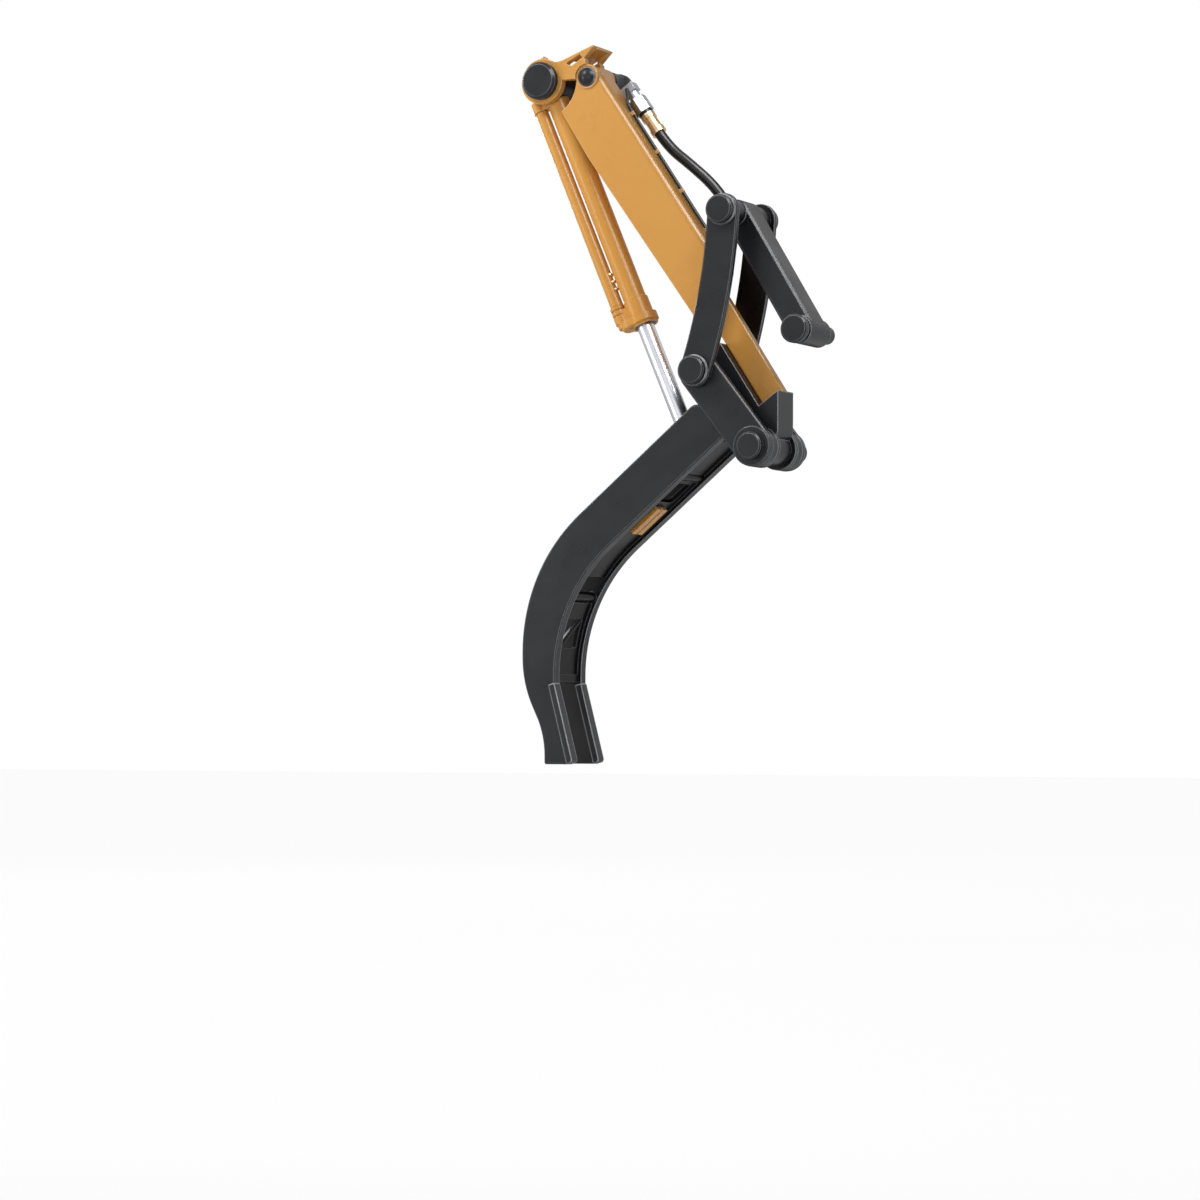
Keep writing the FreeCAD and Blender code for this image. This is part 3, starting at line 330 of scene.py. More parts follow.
def relief(finish, height, strength, distance, corner):
    """Small relief, on corners that are rounded for the light."""
    bump = finish.add("ShaderNodeBump")
    bump.inputs["Strength"].default_value = strength
    bump.inputs["Distance"].default_value = distance
    finish.link(height, bump.inputs["Height"])
    finish.link(rounded_normal(finish, corner), bump.inputs["Normal"])
    finish.feed("Normal", bump.outputs["Normal"])


print("corners are brightest towards", HIGHLIGHT_WAY)

# %% [markdown]
# The arm wears the golden paint of building machines. Its colour drifts a little
# over a plate, dust dulls it in patches, and its corners are lighter, partly from
# wear and partly as a painted highlight where they look up and back. Sprayed paint
# has a fine orange peel, so the plates get a small relief. The barrel and its port
# tube have no such corners, and their tight curve turns a relief into sparks of
# light, so their paint goes without both.

# %% Golden paint
GOLD_DEEP = colour(201, 143, 66)
GOLD_BRIGHT = colour(207, 150, 74)
GOLD_DUSTY = colour(190, 134, 62)
# Wear on corners, and a painted highlight where they face up and back.
GOLD_WORN_AND_HIGHLIT = colour(246, 214, 164)
PLATE_SHINE = 0.32
TUBE_SHINE = 0.18


def golden_paint(name, has_corners):
    """Sprayed paint over thick steel plate, worn and painted with highlight on its corners, or over a
    smooth tube that has none.
    """
    paint = Finish(name)
    body = paint.blend(paint.clouds(2.2, detail=2.0), GOLD_DEEP, GOLD_BRIGHT)
    dust = paint.patches(14.0, low=0.50, high=0.80, most=0.25, detail=3.0)
    body = paint.blend(dust, body, GOLD_DUSTY)
    if has_corners:
        # corners: wear, and painted highlight where they face up and back
        worn_and_highlit = worn_and_highlit_corners(paint, width=0.0045, faint=0.98, full=0.82, patches=30.0, least=0.65)
        body = paint.blend(worn_and_highlit, body, GOLD_WORN_AND_HIGHLIT)
        relief(paint, paint.grain(90.0, detail=1.0), strength=0.02, distance=0.0002, corner=0.003)
    paint.feed("Base Color", body)
    paint.feed("Roughness", paint.clouds(9.0, 0.26, 0.32))
    paint.fix("Specular IOR Level", PLATE_SHINE if has_corners else TUBE_SHINE)
    return paint.material


gold = golden_paint("golden_paint", True)
gold_tube = golden_paint("golden_tube_paint", False)
print("made", gold.name, gold_tube.name)

# %% [markdown]
# The links, the nose and the thumb are painted black. Black paint shows its wear
# most: bright grey where the corners are rubbed, which is also a painted highlight
# where they look up and back, and a dull bloom of dust in patches. Its tone drifts
# a little, and painted shade turns the faces that look towards the middle plane
# near black. Three paints come from one function: the outside one, a darker one
# that paints shade on the pieces that sit between the plates, and one for the
# thumb's tips, whose corners are worn by the ground and carry the brightest painted
# highlight.

# %% Black paint
BLACK_BLOOM = colour(60, 61, 65)
# Painted shade: the near-black colour for faces that look towards the middle plane.
BLACK_PAINTED_SHADE = colour(13, 13, 15)


def black_paint(name, light, dark, edge, edge_least, shine):
    """Black paint over cast and cut steel, worn grey and painted with highlight on its corners, with
    painted shade on the faces that look towards the middle plane.
    """
    paint = Finish(name)
    body = paint.blend(paint.clouds(3.0, detail=3.0), dark, light)
    bloom = paint.patches(16.0, low=0.52, high=0.82, most=0.14)
    body = paint.blend(bloom, body, BLACK_BLOOM)
    # painted shade on the faces that look towards the middle plane
    body = paint.blend(painted_inner_shade(paint), body, BLACK_PAINTED_SHADE)
    # corners: worn grey, and painted highlight where they face up and back
    worn_and_highlit = worn_and_highlit_corners(paint, width=0.006, faint=0.985, full=0.86, patches=24.0, least=edge_least)
    paint.feed("Base Color", paint.blend(worn_and_highlit, body, edge))
    paint.feed("Roughness", paint.clouds(12.0, 0.25, 0.36))
    paint.fix("Specular IOR Level", shine)
    relief(paint, paint.grain(90.0, detail=1.0), strength=0.03, distance=0.0003, corner=0.003)
    return paint.material


black = black_paint(
    "black_paint", light=colour(35, 36, 40), dark=colour(30, 31, 34),
    edge=colour(176, 177, 182), edge_least=0.80, shine=0.26,
)
# A darker paint that stands in for the shade between the plates: painted shade.
shade_black = black_paint(
    "painted_shade_black", light=colour(15, 15, 17), dark=colour(10, 10, 12),
    edge=colour(84, 85, 88), edge_least=0.60, shine=0.12,
)
# The tips: worn by the ground, and the brightest painted highlight on their corners.
tip_paint_worn_and_highlit = black_paint(
    "tip_steel_worn_and_highlit", light=colour(38, 39, 43), dark=colour(31, 32, 35),
    edge=colour(206, 208, 213), edge_least=0.85, shine=0.30,
)
print("made", black.name, shade_black.name, tip_paint_worn_and_highlit.name)

# %% [markdown]
# Zinc-plated steel and brass are metals whose colour and polish come in small
# patches, browner ones in the brass where it has dulled. Both come from one
# function with other numbers. Rubber and the coat of the oil pipe aren't metals:
# they are dark with a soft shine, in two near shades.

# %% Zinc, brass and rubber
POLISH_FINER = 2.3
PORES_FINER = 12.0
COAT_DRIFT = 0.03
COAT_SHINE = 0.40


def bare_metal(name, light, dark, fineness, smoothest, roughest, depth):
    """A metal whose colour and polish vary with a noise of a given fineness."""
    metal = Finish(name)
    spots = metal.patches(fineness, low=0.35, high=0.65, detail=5.0)
    metal.feed("Base Color", metal.blend(spots, light, dark))
    metal.feed("Roughness", metal.clouds(fineness * POLISH_FINER, smoothest, roughest))
    metal.fix("Metallic", 1.0)
    pores = metal.grain(fineness * PORES_FINER, detail=2.0)
    relief(metal, pores, strength=0.10, distance=depth, corner=0.0015)
    return metal.material


def dark_coat(name, dark, light, roughness):
    """Rubber, or the dark coat of a pipe: two near shades in soft patches."""
    coat = Finish(name)
    spots = coat.patches(40.0, low=0.35, high=0.70, detail=3.0)
    coat.feed("Base Color", coat.blend(spots, dark, light))
    coat.feed("Roughness", coat.clouds(20.0, roughness - COAT_DRIFT, roughness + COAT_DRIFT))
    coat.fix("Specular IOR Level", COAT_SHINE)
    return coat.material


zinc = bare_metal(
    "zinc_steel", light=colour(180, 183, 189), dark=colour(150, 153, 159),
    fineness=30.0, smoothest=0.32, roughest=0.42, depth=0.0001,
)
brass = bare_metal(
    "brass", light=colour(232, 212, 178), dark=colour(200, 168, 120),
    fineness=30.0, smoothest=0.26, roughest=0.38, depth=0.0002,
)
rubber = dark_coat("hose_rubber", dark=colour(11, 11, 12), light=colour(19, 19, 21), roughness=0.30)
pipe_coat = dark_coat("pipe_coat", dark=colour(24, 30, 34), light=colour(38, 48, 54), roughness=0.38)
print("made", zinc.name, brass.name, rubber.name, pipe_coat.name)

# %% [markdown]
# A cylinder's rod is hard chrome, ground and honed along its length. Its colour
# carries painted reflections: soft light and dark streaks that run with it, as a
# round rod mirrors a studio. Noise draws out into streaks when its place is
# squeezed along one axis. The rod leans, so the place is first turned upright,
# by the angle that the sliding joint's axis gives, and then squeezed.

# %% Chrome on the rod, with painted reflections
# Painted reflections: the dark and light streaks along the rod.
CHROME_DARK_REFLECTION = colour(158, 159, 170)
CHROME_LIGHT_REFLECTION = colour(228, 228, 234)
STREAK_SQUEEZE = 0.02


def chrome_with_painted_reflections(along):
    """Hard chrome on a rod, with painted reflections as soft streaks along its length."""
    metal = Finish("rod_chrome")
    upright = metal.add("ShaderNodeMapping")
    upright.inputs["Rotation"].default_value = (0.0, math.atan2(along.x, -along.z), 0.0)
    metal.link(metal.place, upright.inputs["Vector"])
    squeezed = metal.add("ShaderNodeMapping")
    squeezed.inputs["Scale"].default_value = (1.0, 1.0, STREAK_SQUEEZE)
    metal.link(upright.outputs["Vector"], squeezed.inputs["Vector"])
    # painted reflection streaks along the rod
    streaks = metal.clouds(50.0, detail=0.0, place=squeezed.outputs["Vector"])
    metal.feed("Base Color", metal.blend(streaks, CHROME_DARK_REFLECTION, CHROME_LIGHT_REFLECTION))
    metal.feed("Roughness", metal.clouds(30.0, 0.26, 0.31))
    metal.fix("Metallic", 1.0)
    return metal.material


slide = next(joint for joint in frame["joints"] if joint["name"] == "rod_slide")
ROD_WAY = Vector(slide["axis"])
chrome = chrome_with_painted_reflections(ROD_WAY)
print("made", chrome.name, "with streaks along", [round(v, 3) for v in ROD_WAY])

# %% [markdown]
# Each solid now gets its finish. The dictionary goes from the finish to the
# solids that wear it, so that one line changes a whole group. Every solid that it
# doesn't name is black, as most of this machine is.

# %% Give the solids their finishes
WEARS = {
    gold: (
        "arm_shell", "arm_belly_plate", "arm_end_plate", "arm_neck", "foot_boss",
        "bracket_ear_near", "bracket_ear_far", "bracket_hood", "web_pad", "base_port",
    ),
    gold_tube: ("barrel", "port_tube", "cylinder_head"),
    zinc: (
        "hex_coupling", "valve_block", "hose_end_fitting", "base_pin", "idler_pin", "rod_pin",
        "piston",
    ),
    brass: ("brass_collar", "tube_spacers"),
    chrome: ("rod",),
    tip_paint_worn_and_highlit: ("tip_bars",),
    # pieces between the plates wear the darker paint, as painted shade
    shade_black: (
        "web_top", "web_middle", "web_low", "web_bars", "cross_tubes", "rod_lugs",
        "idler_sleeves", "base_eye",
    ),
    rubber: ("coupling_seal", "rod_wiper"),
}


def wear(node, material):
    """Put one material on every slot of a solid."""
    thing = nodes[node]
    if not thing.material_slots:
        thing.data.materials.append(material)
    for slot in thing.material_slots:
        slot.material = material


dressed = set()
for material, names in WEARS.items():
    for name in names:
        wear(name, material)
        dressed.add(name)
black_solids = [name for name in nodes if name not in dressed and name != "hose"]
for name in black_solids:
    wear(name, black)
rubber_hose.data.materials.append(rubber)
print("finished solids:", len(dressed) + len(black_solids), "of them black:", len(black_solids))

# %% [markdown]
# Thick plates are joined by fillet welds, and a welder's bead isn't a smooth
# round: it is a row of small overlapping ripples. The path of each bead is
# already in the CAD model, as the outline of the flat end where one plate meets
# the next, so nothing has to be drawn by hand. First comes the outline of such
# an end, as closed loops of points in metres. The faces are kept in a list and not
# in a set, because a set's order changes from run to run, and with it the point
# where a loop starts.

# %% Find the outline of a flat end
SAME_POINT = 0.00002
SAME_LEVEL = 0.0002


def ring_length(ring):
    """The length once round a closed loop of points."""
    return sum((ring[i] - ring[i - 1]).length for i in range(len(ring)))


def end_loops(node, toward):
    """Closed loops round the flat end of a solid that faces a given way, longest first."""
    toward = Vector(toward)
    mesh = bmesh.new()
    mesh.from_mesh(nodes[node].data)
    bmesh.ops.remove_doubles(mesh, verts=mesh.verts, dist=SAME_POINT)
    mesh.normal_update()
    furthest = max(vert.co.dot(toward) for vert in mesh.verts)
    end = [
        face for face in mesh.faces
        if all(abs(vert.co.dot(toward) - furthest) < SAME_LEVEL for vert in face.verts)
    ]
    after = {}
    for face in end:
        for loop in face.loops:
            if sum(other in end for other in loop.edge.link_faces) == 1:
                after[loop.vert.index] = (loop.link_loop_next.vert.index, loop.vert.co.copy())
    rings = []
    while after:
        start = next(iter(after))
        ring = []
        here = start
        while here in after:
            following, place = after.pop(here)
            ring.append(place)
            here = following
        rings.append(ring)
    mesh.free()
    return sorted(rings, key=ring_length, reverse=True)


web_outline = end_loops("web_middle", (0, 1, 0))[0]
print("outline of the middle web:", round(ring_length(web_outline), 2), "m")

# %% [markdown]
# A CAD outline has few points on its straight sides and many on its bends, so the
# ripples would come out uneven. The points are therefore spread again, at even
# steps that are a third of a ripple long.

# %% Spread points evenly along a loop
RIPPLE = 0.0075
STEPS_PER_RIPPLE = 3
FEWEST_STEPS = 12


def spread(ring, step):
    """Points at even steps along a closed loop."""
    total = ring_length(ring)
    count = max(FEWEST_STEPS, round(total / step))
    points = []
    i = 0
    walked = 0.0
    side = (ring[1] - ring[0]).length
    for k in range(count):
        goal = total * k / count
        while walked + side < goal:
            walked += side
            i = (i + 1) % len(ring)
            side = (ring[(i + 1) % len(ring)] - ring[i]).length
        share = (goal - walked) / side if side else 0.0
        points.append(ring[i].lerp(ring[(i + 1) % len(ring)], share))
    return points


print("points on it:", len(web_outline), "spread:", len(spread(web_outline, RIPPLE / STEPS_PER_RIPPLE)))

# %% [markdown]
# The bead itself is a tube along those points. It swells and shrinks along them,
# which gives the ripples as real geometry. The start of the loop and its end
# meet, so the mesh is closed and needs no caps. Every piece that is made of points
# and faces ends in `mesh_piece`: it makes the object, lets it ride on a body of
# the machine, and names the slot that its finish belongs to.

# %% Lay a weld bead along a loop
BEAD_SIDES = 8
RIPPLE_SWELL = 0.16


def mesh_piece(name, verts, faces, body, material):
    """A piece from its points and faces, riding on a body."""
    mesh = bpy.data.meshes.new(name)
    mesh.from_pydata(verts, [], faces)
    mesh.materials.append(material)
    piece = bpy.data.objects.new(name, mesh)
    bpy.context.collection.objects.link(piece)
    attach(piece, body)
    return piece


def bead(name, ring, radius, across, body, material):
    """A rippled weld bead round a closed loop; across is the way that the loop's plane faces."""
    across = Vector(across)
    points = spread(ring, RIPPLE / STEPS_PER_RIPPLE)
    count = len(points)
    verts = []
    for i, point in enumerate(points):
        ahead = (points[(i + 1) % count] - points[i - 1]).normalized()
        out = ahead.cross(across).normalized()
        swell = radius * (1.0 + RIPPLE_SWELL * math.cos(2 * math.pi * i / STEPS_PER_RIPPLE))
        for k in range(BEAD_SIDES):
            turn = 2 * math.pi * k / BEAD_SIDES
            verts.append(point + out * (swell * math.cos(turn)) + across * (swell * math.sin(turn)))
    faces = []
    for i in range(count):
        here = i * BEAD_SIDES
        following = (i + 1) % count * BEAD_SIDES
        for k in range(BEAD_SIDES):
            beside = (k + 1) % BEAD_SIDES
            faces.append((here + k, here + beside, following + beside, following + k))
    piece = mesh_piece(name, verts, faces, body, material)
    piece.data.shade_smooth()
    return piece


print("ripples are", round(1000 * RIPPLE, 1), "mm long")

# %% [markdown]
# These are the seams that show: the webs and cross tubes inside the thumb, the
# lugs of the rod, the sleeves behind the cheeks and the belly plate of the arm.
# Each row gives the solid, its body, the paint and the bead's radius in metres.
# Both ends of each solid get a bead, round the outermost outline alone: a bead
# round a hole would lie in the way of its pin.

# %% Weld the seams
SEAMS = (
    ("web_top", "thumb", black, 0.0035),
    ("web_middle", "thumb", black, 0.0035),
    ("web_low", "thumb", black, 0.0035),
    ("cross_tubes", "thumb", black, 0.0035),
    ("rod_lugs", "thumb", black, 0.0030),
    ("idler_sleeves", "arm", black, 0.0035),
    ("arm_belly_plate", "arm", gold, 0.0030),
)
beads = []
for node, body, material, radius in SEAMS:
    for side, way in (("near", -1), ("far", 1)):
        outline = end_loops(node, (0, way, 0))[0]
        beads.append(bead(f"weld_{node}_{side}", outline, radius, (0, way, 0), body, material))
print("weld beads:", len(beads), "faces:", sum(len(piece.data.polygons) for piece in beads))

# %% [markdown]
# A thin pipe carries oil down the arm's back, close on the paint. The CAD model
# has its long run as a straight round bar, so the pipe's place is read from that
# bar's box: its width across the arm is the bar's diameter, and the lean follows
# from its height and width less the round ends. How much those ends take depends
# on the lean in turn, so it is worked out a few times over.

# %% Where the pipe lies
PIPE_RADIUS = 0.0042
LEAN_ROUNDS = 4


def bar_axis(node):
    """The two ends of a straight round bar's axis, upper end first, and its radius."""
    low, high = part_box(node)
    radius = (high[1] - low[1]) / 2
    wide, tall = high[0] - low[0], high[2] - low[2]
    lean = math.atan2(wide, tall)
    for _ in range(LEAN_ROUNDS):
        lean = math.atan2(wide - 2 * radius * math.cos(lean), tall - 2 * radius * math.sin(lean))
    inset = Vector((radius * math.cos(lean), 0.0, radius * math.sin(lean)))
    middle = (low[1] + high[1]) / 2
    upper = Vector((low[0] + inset.x, middle, high[2] - inset.z))
    lower = Vector((high[0] - inset.x, middle, low[2] + inset.z))
    return upper, lower, radius


upper, lower, stock_radius = bar_axis("arm_pipe")
down = (lower - upper).normalized()
outward = Vector((-down.z, 0.0, down.x))
settle = outward * (PIPE_RADIUS - stock_radius)
run = (lower - upper).length
print("pipe run:", round(run, 3), "radius in the CAD:", round(stock_radius, 4))

# %% [markdown]
# The pipe's upper end lifts off the paint and bends over to the valve block, as a
# pipe bender would make it. The same helper that drew the hose draws the bend and
# the run in one curve. Each point of the bend is given by how far it lies to the
# far side, off the paint and down the run.

# %% The pipe on the arm's back
PIPE_BEND = (
    (0.034, 0.010, -0.004),
    (0.022, 0.009, 0.016),
    (0.004, 0.002, 0.040),
    (0.0, 0.0, 0.075),
)
pipe_route = [
    upper + settle + outward * lift + Vector((0.0, aside, 0.0)) + down * along
    for aside, lift, along in PIPE_BEND
]
pipe_route.append(lower + settle)

oil_pipe = round_tube("oil_pipe", pipe_route, PIPE_RADIUS, roundness=5, steps=12)
oil_pipe.data.materials.append(pipe_coat)
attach(oil_pipe, "arm")
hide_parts("arm_pipe")
print("pipe length:", round(oil_pipe.data.splines[0].calc_length(), 3))

# %% [markdown]
# Thin saddle straps hold the pipe down. Each is a strip of sheet steel, bent over
# the pipe with a foot on either side and painted with the arm. The strip's
# section is a short list of points: two for each foot, and nine on the half round
# between them. Each strap repeats it on both of its edges, under the sheet and on
# top of it.

# %% Straps over the pipe
STRAP_WIDTH = 0.012
STRAP_COUNT = 4
STRAP_SHEET = 0.0014
STRAP_TOE = (0.0105, 0.0002)
STRAP_HEEL = (0.0050, 0.0004)
STRAP_BEND = PIPE_RADIUS + 0.0002
STRAP_BEND_STEPS = 8
FIRST_STRAP = 0.6


def strap_section():
    """Points across a strap, from foot to foot: how far aside, and how far off the paint."""
    over = [
        (-STRAP_BEND * math.cos(turn), PIPE_RADIUS + STRAP_BEND * math.sin(turn))
        for turn in [math.pi * k / STRAP_BEND_STEPS for k in range(STRAP_BEND_STEPS + 1)]
    ]
    feet = [STRAP_TOE, STRAP_HEEL]
    return [(-aside, lift) for aside, lift in feet] + over + feet[::-1]


def add_straps():
    """The straps, as closed strips that follow one section."""
    section = strap_section()
    count = len(section)
    verts = []
    faces = []
    for i in range(STRAP_COUNT):
        centre = upper + down * (run * (i + FIRST_STRAP) / STRAP_COUNT) - outward * stock_radius
        for end in (-0.5, 0.5):
            for sheet in (0.0, STRAP_SHEET):
                for aside, lift in section:
                    verts.append(
                        centre + down * (STRAP_WIDTH * end) + Vector((0.0, aside, 0.0))
                        + outward * (lift + sheet))
        base = 4 * count * i
        for k in range(count - 1):
            near_low, near_top = base + k, base + count + k
            far_low, far_top = base + 2 * count + k, base + 3 * count + k
            faces.append((near_top, near_top + 1, far_top + 1, far_top))
            faces.append((near_low, far_low, far_low + 1, near_low + 1))
            faces.append((near_low, near_low + 1, near_top + 1, near_top))
            faces.append((far_low, far_top, far_top + 1, far_low + 1))
        for k in (0, count - 1):
            rim = (base + k, base + count + k, base + 3 * count + k, base + 2 * count + k)
            faces.append(rim if k == 0 else rim[::-1])
    return mesh_piece("pipe_straps", verts, faces, "arm", gold)


pipe_straps = add_straps()
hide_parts("pipe_clips")
print("straps:", STRAP_COUNT, "faces:", len(pipe_straps.data.polygons))

# %% [markdown]
# Small turned parts finish the joints. All of them are lathe work, so one helper
# turns a profile of radius and height round an axis, and closes both ends. The
# sides are shaded smooth, and edges over 40 degrees stay sharp, as a lathe tool
# leaves them.

# %% A lathe
TURNED_SIDES = 40
SHARP_OVER = math.radians(40)


def turned(name, profile, start, along, body, material, sides=TURNED_SIDES):
    """A closed turned part: (radius, height) pairs from start along an axis."""
    start = Vector(start)
    along = Vector(along).normalized()
    across = along.orthogonal().normalized()
    other = along.cross(across)
    verts = [start + along * profile[0][1]]
    for radius, height in profile:
        for k in range(sides):
            turn = 2 * math.pi * k / sides
            verts.append(
                start + along * height
                + across * (radius * math.cos(turn)) + other * (radius * math.sin(turn)))
    verts.append(start + along * profile[-1][1])
    faces = []
    last = len(verts) - 1
    top = 1 + (len(profile) - 1) * sides
    for k in range(sides):
        following = (k + 1) % sides
        faces.append((0, 1 + following, 1 + k))
        faces.append((last, top + k, top + following))
        for i in range(len(profile) - 1):
            low = 1 + i * sides
            faces.append((low + k, low + following, low + sides + following, low + sides + k))
    piece = mesh_piece(name, verts, faces, body, material)
    piece.data.shade_smooth()
    piece.data.set_sharp_from_angle(angle=SHARP_OVER)
    return piece


print("the lathe gives a part", TURNED_SIDES, "sides")

# %% [markdown]
# The far end of the foot pin has a black bush with a flange. The bracket's ring
# round the cylinder's base pin carries a nipple for the grease gun, painted over
# with the ring.

# %% Bush and grease nipple
BASE_PIN = Vector((-0.137, 0.0, -0.003))
BUSH_START = (0.0, 0.0665, 0.0)
BUSH_PROFILE = (
    (0.0310, 0.0), (0.0325, 0.0015), (0.0325, 0.060), (0.0335, 0.062), (0.0350, 0.063),
    (0.0358, 0.065), (0.0358, 0.083), (0.0345, 0.086), (0.0290, 0.088),
)
NIPPLE_START = BASE_PIN + Vector((0.002, -0.045, 0.0605))
NIPPLE_PROFILE = (
    (0.0105, -0.004), (0.0105, 0.0030), (0.0090, 0.0048), (0.0045, 0.0052),
    (0.0040, 0.0078), (0.0028, 0.0090), (0.0016, 0.0094),
)

foot_bush = turned("foot_bush", BUSH_PROFILE, BUSH_START, (0, 1, 0), "arm", black)
grease_nipple = turned(
    "grease_nipple", NIPPLE_PROFILE, NIPPLE_START, (0, 0, 1), "arm", gold, sides=24)
print("bush:", BUSH_PROFILE[-1][1], "m long, nipple:", NIPPLE_PROFILE[-1][1], "m high")

# %% [markdown]
# A long tube beside the barrel carries oil to the rod's side of the piston. In
# the photograph it is a little stouter than its stock solid, so a turned one
# takes that solid's place. Three brass studs stand between it and the barrel. All
# are placed by how far they lie beside the barrel's axis, across the arm and
# along the axis from the base pin, so that they lean as the cylinder does.

# %% Port tube and its studs
BESIDE_ROD = Vector((ROD_WAY.z, 0.0, -ROD_WAY.x))
PORT_ASIDE = 0.0528
PORT_ACROSS = -0.010
PORT_ALONG = 0.062
PORT_PROFILE = ((0.0160, 0.0), (0.0178, 0.0018), (0.0178, 0.5922), (0.0160, 0.5940))
STUD_ASIDE = 0.0335
STUD_ACROSS = -0.009
STUDS_ALONG = (0.566, 0.588, 0.610)
STUD_PROFILE = (
    (0.0030, 0.0), (0.0046, 0.0010), (0.0046, 0.0085), (0.0036, 0.0100),
    (0.0036, 0.0128), (0.0022, 0.0140),
)


def beside_barrel(aside, across, along):
    """A point placed from the base pin: beside the barrel's axis, across the arm and along the axis."""
    return BASE_PIN + BESIDE_ROD * aside + Vector((0.0, across, 0.0)) + ROD_WAY * along


port_line = turned(
    "port_line", PORT_PROFILE, beside_barrel(PORT_ASIDE, PORT_ACROSS, PORT_ALONG), ROD_WAY,
    "barrel", gold_tube)
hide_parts("port_tube")
studs = []
for i, along in enumerate(STUDS_ALONG):
    studs.append(turned(
        f"tube_stud_{i}", STUD_PROFILE, beside_barrel(STUD_ASIDE, STUD_ACROSS, along), (0, -1, 0),
        "barrel", brass, sides=20))
print("port line:", PORT_PROFILE[-1][1], "m long, studs:", len(studs))

# %% [markdown]
# The photograph is on plain white. The floor lies well below the tips, because
# the arm hangs from its foot. For the lamps it is pale grey and throws some light
# back up. The eye and reflections see almost clear through it, to the white
# world, and the rest of it holds the object's shadow.

# %% Floor
FLOOR_Z = -2.35
FLOOR_HALF = 30.0
FLOOR_GREY = (0.72, 0.72, 0.72, 1)
FLOOR_ROUGHNESS = 0.9
FLOOR_CLEAR = 0.95


def add_floor():
    """A wide pale floor: the eye and reflections mostly see the white world through it."""
    half = FLOOR_HALF
    corners = [(-half, -half, 0), (half, -half, 0), (half, half, 0), (-half, half, 0)]
    mesh = bpy.data.meshes.new("floor")
    mesh.from_pydata(corners, [], [(0, 1, 2, 3)])
    floor = bpy.data.objects.new("floor", mesh)
    floor.location = (0, 0, FLOOR_Z)
    bpy.context.collection.objects.link(floor)
    material = bpy.data.materials.new("pale_floor")
    material.use_nodes = True
    tree = material.node_tree
    shader = tree.nodes["Principled BSDF"]
    shader.inputs["Base Color"].default_value = FLOOR_GREY
    shader.inputs["Roughness"].default_value = FLOOR_ROUGHNESS
    clear = tree.nodes.new("ShaderNodeBsdfTransparent")
    rays = tree.nodes.new("ShaderNodeLightPath").outputs
    seen = maths(tree, "MAXIMUM", rays["Is Camera Ray"], rays["Is Glossy Ray"])
    mix = tree.nodes.new("ShaderNodeMixShader")
    tree.links.new(maths(tree, "MULTIPLY", seen, FLOOR_CLEAR), mix.inputs["Fac"])
    tree.links.new(shader.outputs["BSDF"], mix.inputs[1])
    tree.links.new(clear.outputs["BSDF"], mix.inputs[2])
    tree.links.new(mix.outputs["Shader"], tree.nodes["Material Output"].inputs["Surface"])
    mesh.materials.append(material)
    return floor


floor = add_floor()

# %% [markdown]
# Bright metal and gloss paint are mostly a picture of the room. In an all-white
# room chrome looks like paper, so photographers hang dark flags, and so does this
# world. It is white to the eye and a soft light from all round. Reflections see a
# studio a little below white, with a broad flag behind the arm, which darkens the
# rims of round parts, and a narrow one up on the right, which draws dark lines
# along them.

# %% The world
WORLD_LIGHT = 0.38
MIRRORED_WHITE = 0.80
FLAG_DARKNESS = 0.95
BEHIND = Vector((-0.47, 0.88, 0.03)).normalized()
BEHIND_RIM = (0.84, 0.93)
FLAG_WAY = Vector((0.788, -0.246, 0.567)).normalized()
FLAG_ENDS = (0.2, 0.5)
FLAG_ACROSS = Vector((0.60, 0.42, -0.68)).normalized()
FLAG_SIDES = (0.13, 0.09)


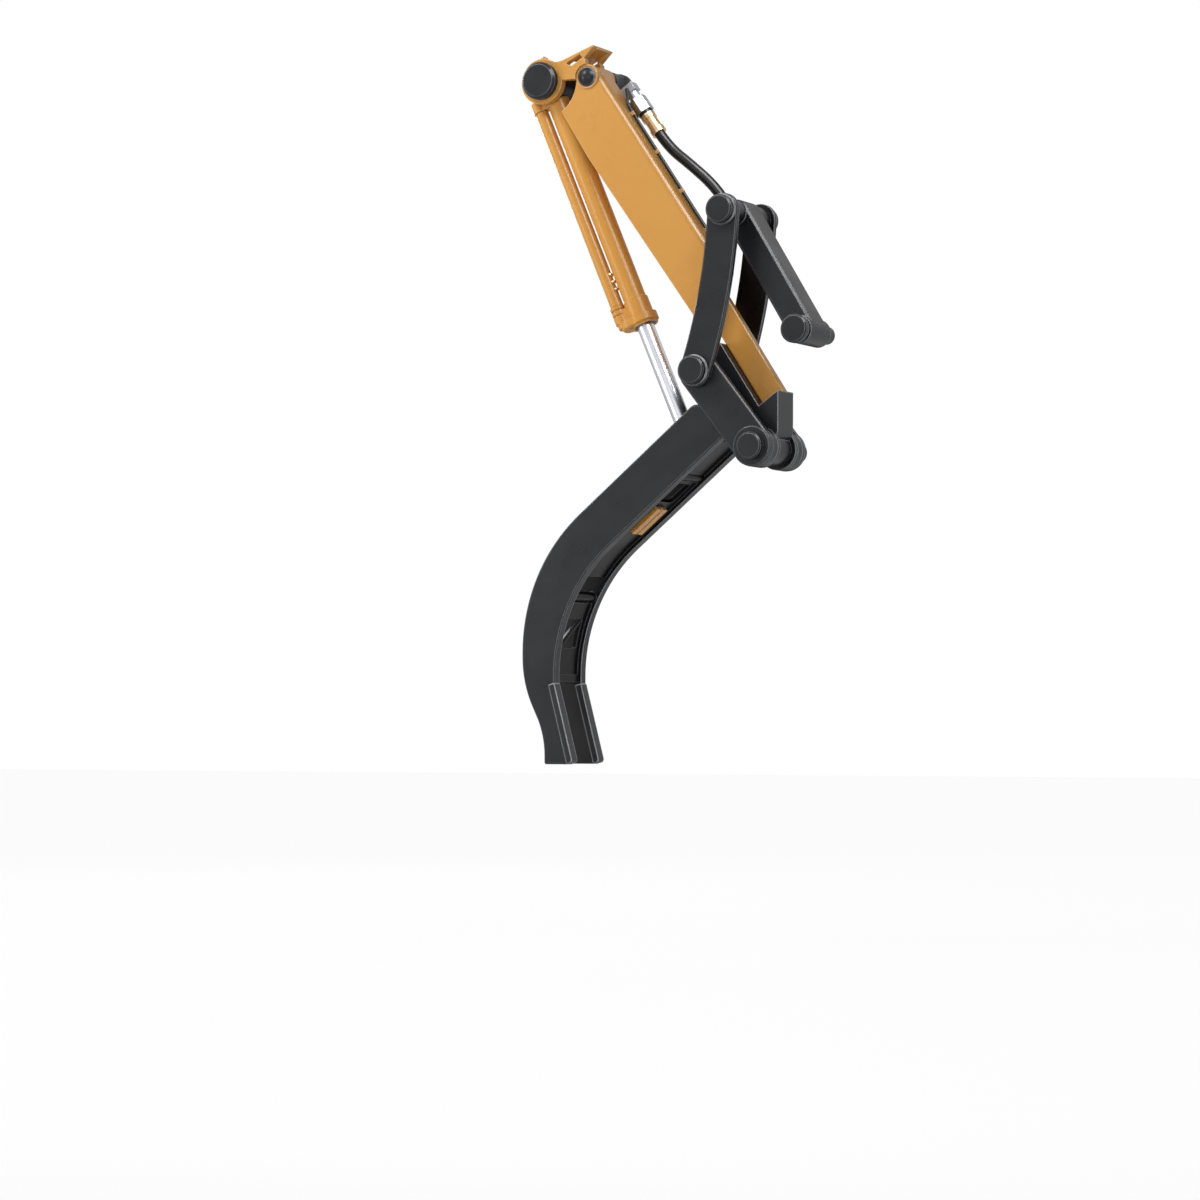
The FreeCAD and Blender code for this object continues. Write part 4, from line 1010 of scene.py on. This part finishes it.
def add_world(light):
    """White to the eye, a soft light from all round, and to reflections a white studio with dark flags."""
    world = bpy.data.worlds.new("studio")
    world.use_nodes = True
    bpy.context.scene.world = world
    tree = world.node_tree
    background = tree.nodes["Background"]
    background.inputs["Color"].default_value = (1, 1, 1, 1)
    way = tree.nodes.new("ShaderNodeTexCoord").outputs["Generated"]
    rays = tree.nodes.new("ShaderNodeLightPath").outputs

    off_strip = maths(tree, "ABSOLUTE", agreement(tree, way, FLAG_ACROSS))
    strip = ramp(tree, off_strip, *FLAG_SIDES)
    length = ramp(tree, agreement(tree, way, FLAG_WAY), *FLAG_ENDS)
    broad = ramp(tree, agreement(tree, way, BEHIND), *BEHIND_RIM)
    dark = maths(tree, "MAXIMUM", maths(tree, "MULTIPLY", strip, length), broad)
    white = maths(tree, "SUBTRACT", 1.0, maths(tree, "MULTIPLY", dark, FLAG_DARKNESS))
    mirrored = maths(tree, "MULTIPLY", white, MIRRORED_WHITE)

    glossy = maths(tree, "MULTIPLY", rays["Is Glossy Ray"], mirrored)
    seen = maths(tree, "MAXIMUM", rays["Is Camera Ray"], rays["Is Transmission Ray"])
    neither = maths(tree, "SUBTRACT", 1.0, maths(tree, "MAXIMUM", seen, rays["Is Glossy Ray"]))
    lit = maths(tree, "MULTIPLY", neither, light)
    strength = maths(tree, "ADD", maths(tree, "ADD", glossy, seen), lit)
    tree.links.new(strength, background.inputs["Strength"])
    return world


world = add_world(WORLD_LIGHT)
print("world light:", WORLD_LIGHT, "white in reflections:", MIRRORED_WHITE)

# %% [markdown]
# Soft square lamps give the plates their shape. The key light stands high on the
# left and gives most of it, the fill and the side light open the shadows, the one
# overhead is for the faces on top, and the one behind is for the far side. The
# last lamp lights nothing by itself: it shows only in reflections, as the bright
# line along rounded corners. Each row gives a name, a place, a size in metres and
# a power in watts.

# %% Lamps
AIM = Vector((0.2, 0.0, -0.9))
LAMPS = (
    ("key", (-2.8, -3.3, 3.4), 2.0, 180),
    ("fill", (1.6, -4.6, -0.6), 2.4, 34),
    ("side", (-4.3, -4.0, -0.6), 1.6, 75),
    ("overhead", (2.9, -1.9, 3.0), 1.2, 30),
    ("behind", (-3.6, 3.8, 1.2), 2.4, 120),
    ("gloss_strip", (2.9, -1.9, 3.0), 2.3, 330),
)


def add_lamp(name, place, size, power):
    """A square soft light that faces the arm."""
    data = bpy.data.lights.new(name, "AREA")
    data.size = size
    data.energy = power
    lamp = bpy.data.objects.new(name, data)
    lamp.location = place
    lamp.rotation_euler = (AIM - Vector(place)).to_track_quat("-Z", "Y").to_euler()
    bpy.context.collection.objects.link(lamp)
    return lamp


lamps = {lamp[0]: add_lamp(*lamp) for lamp in LAMPS}
lamps["gloss_strip"].visible_diffuse = False
print("lamps:", list(lamps))

# %% Finish
bpy.context.scene.view_settings.view_transform = "Standard"
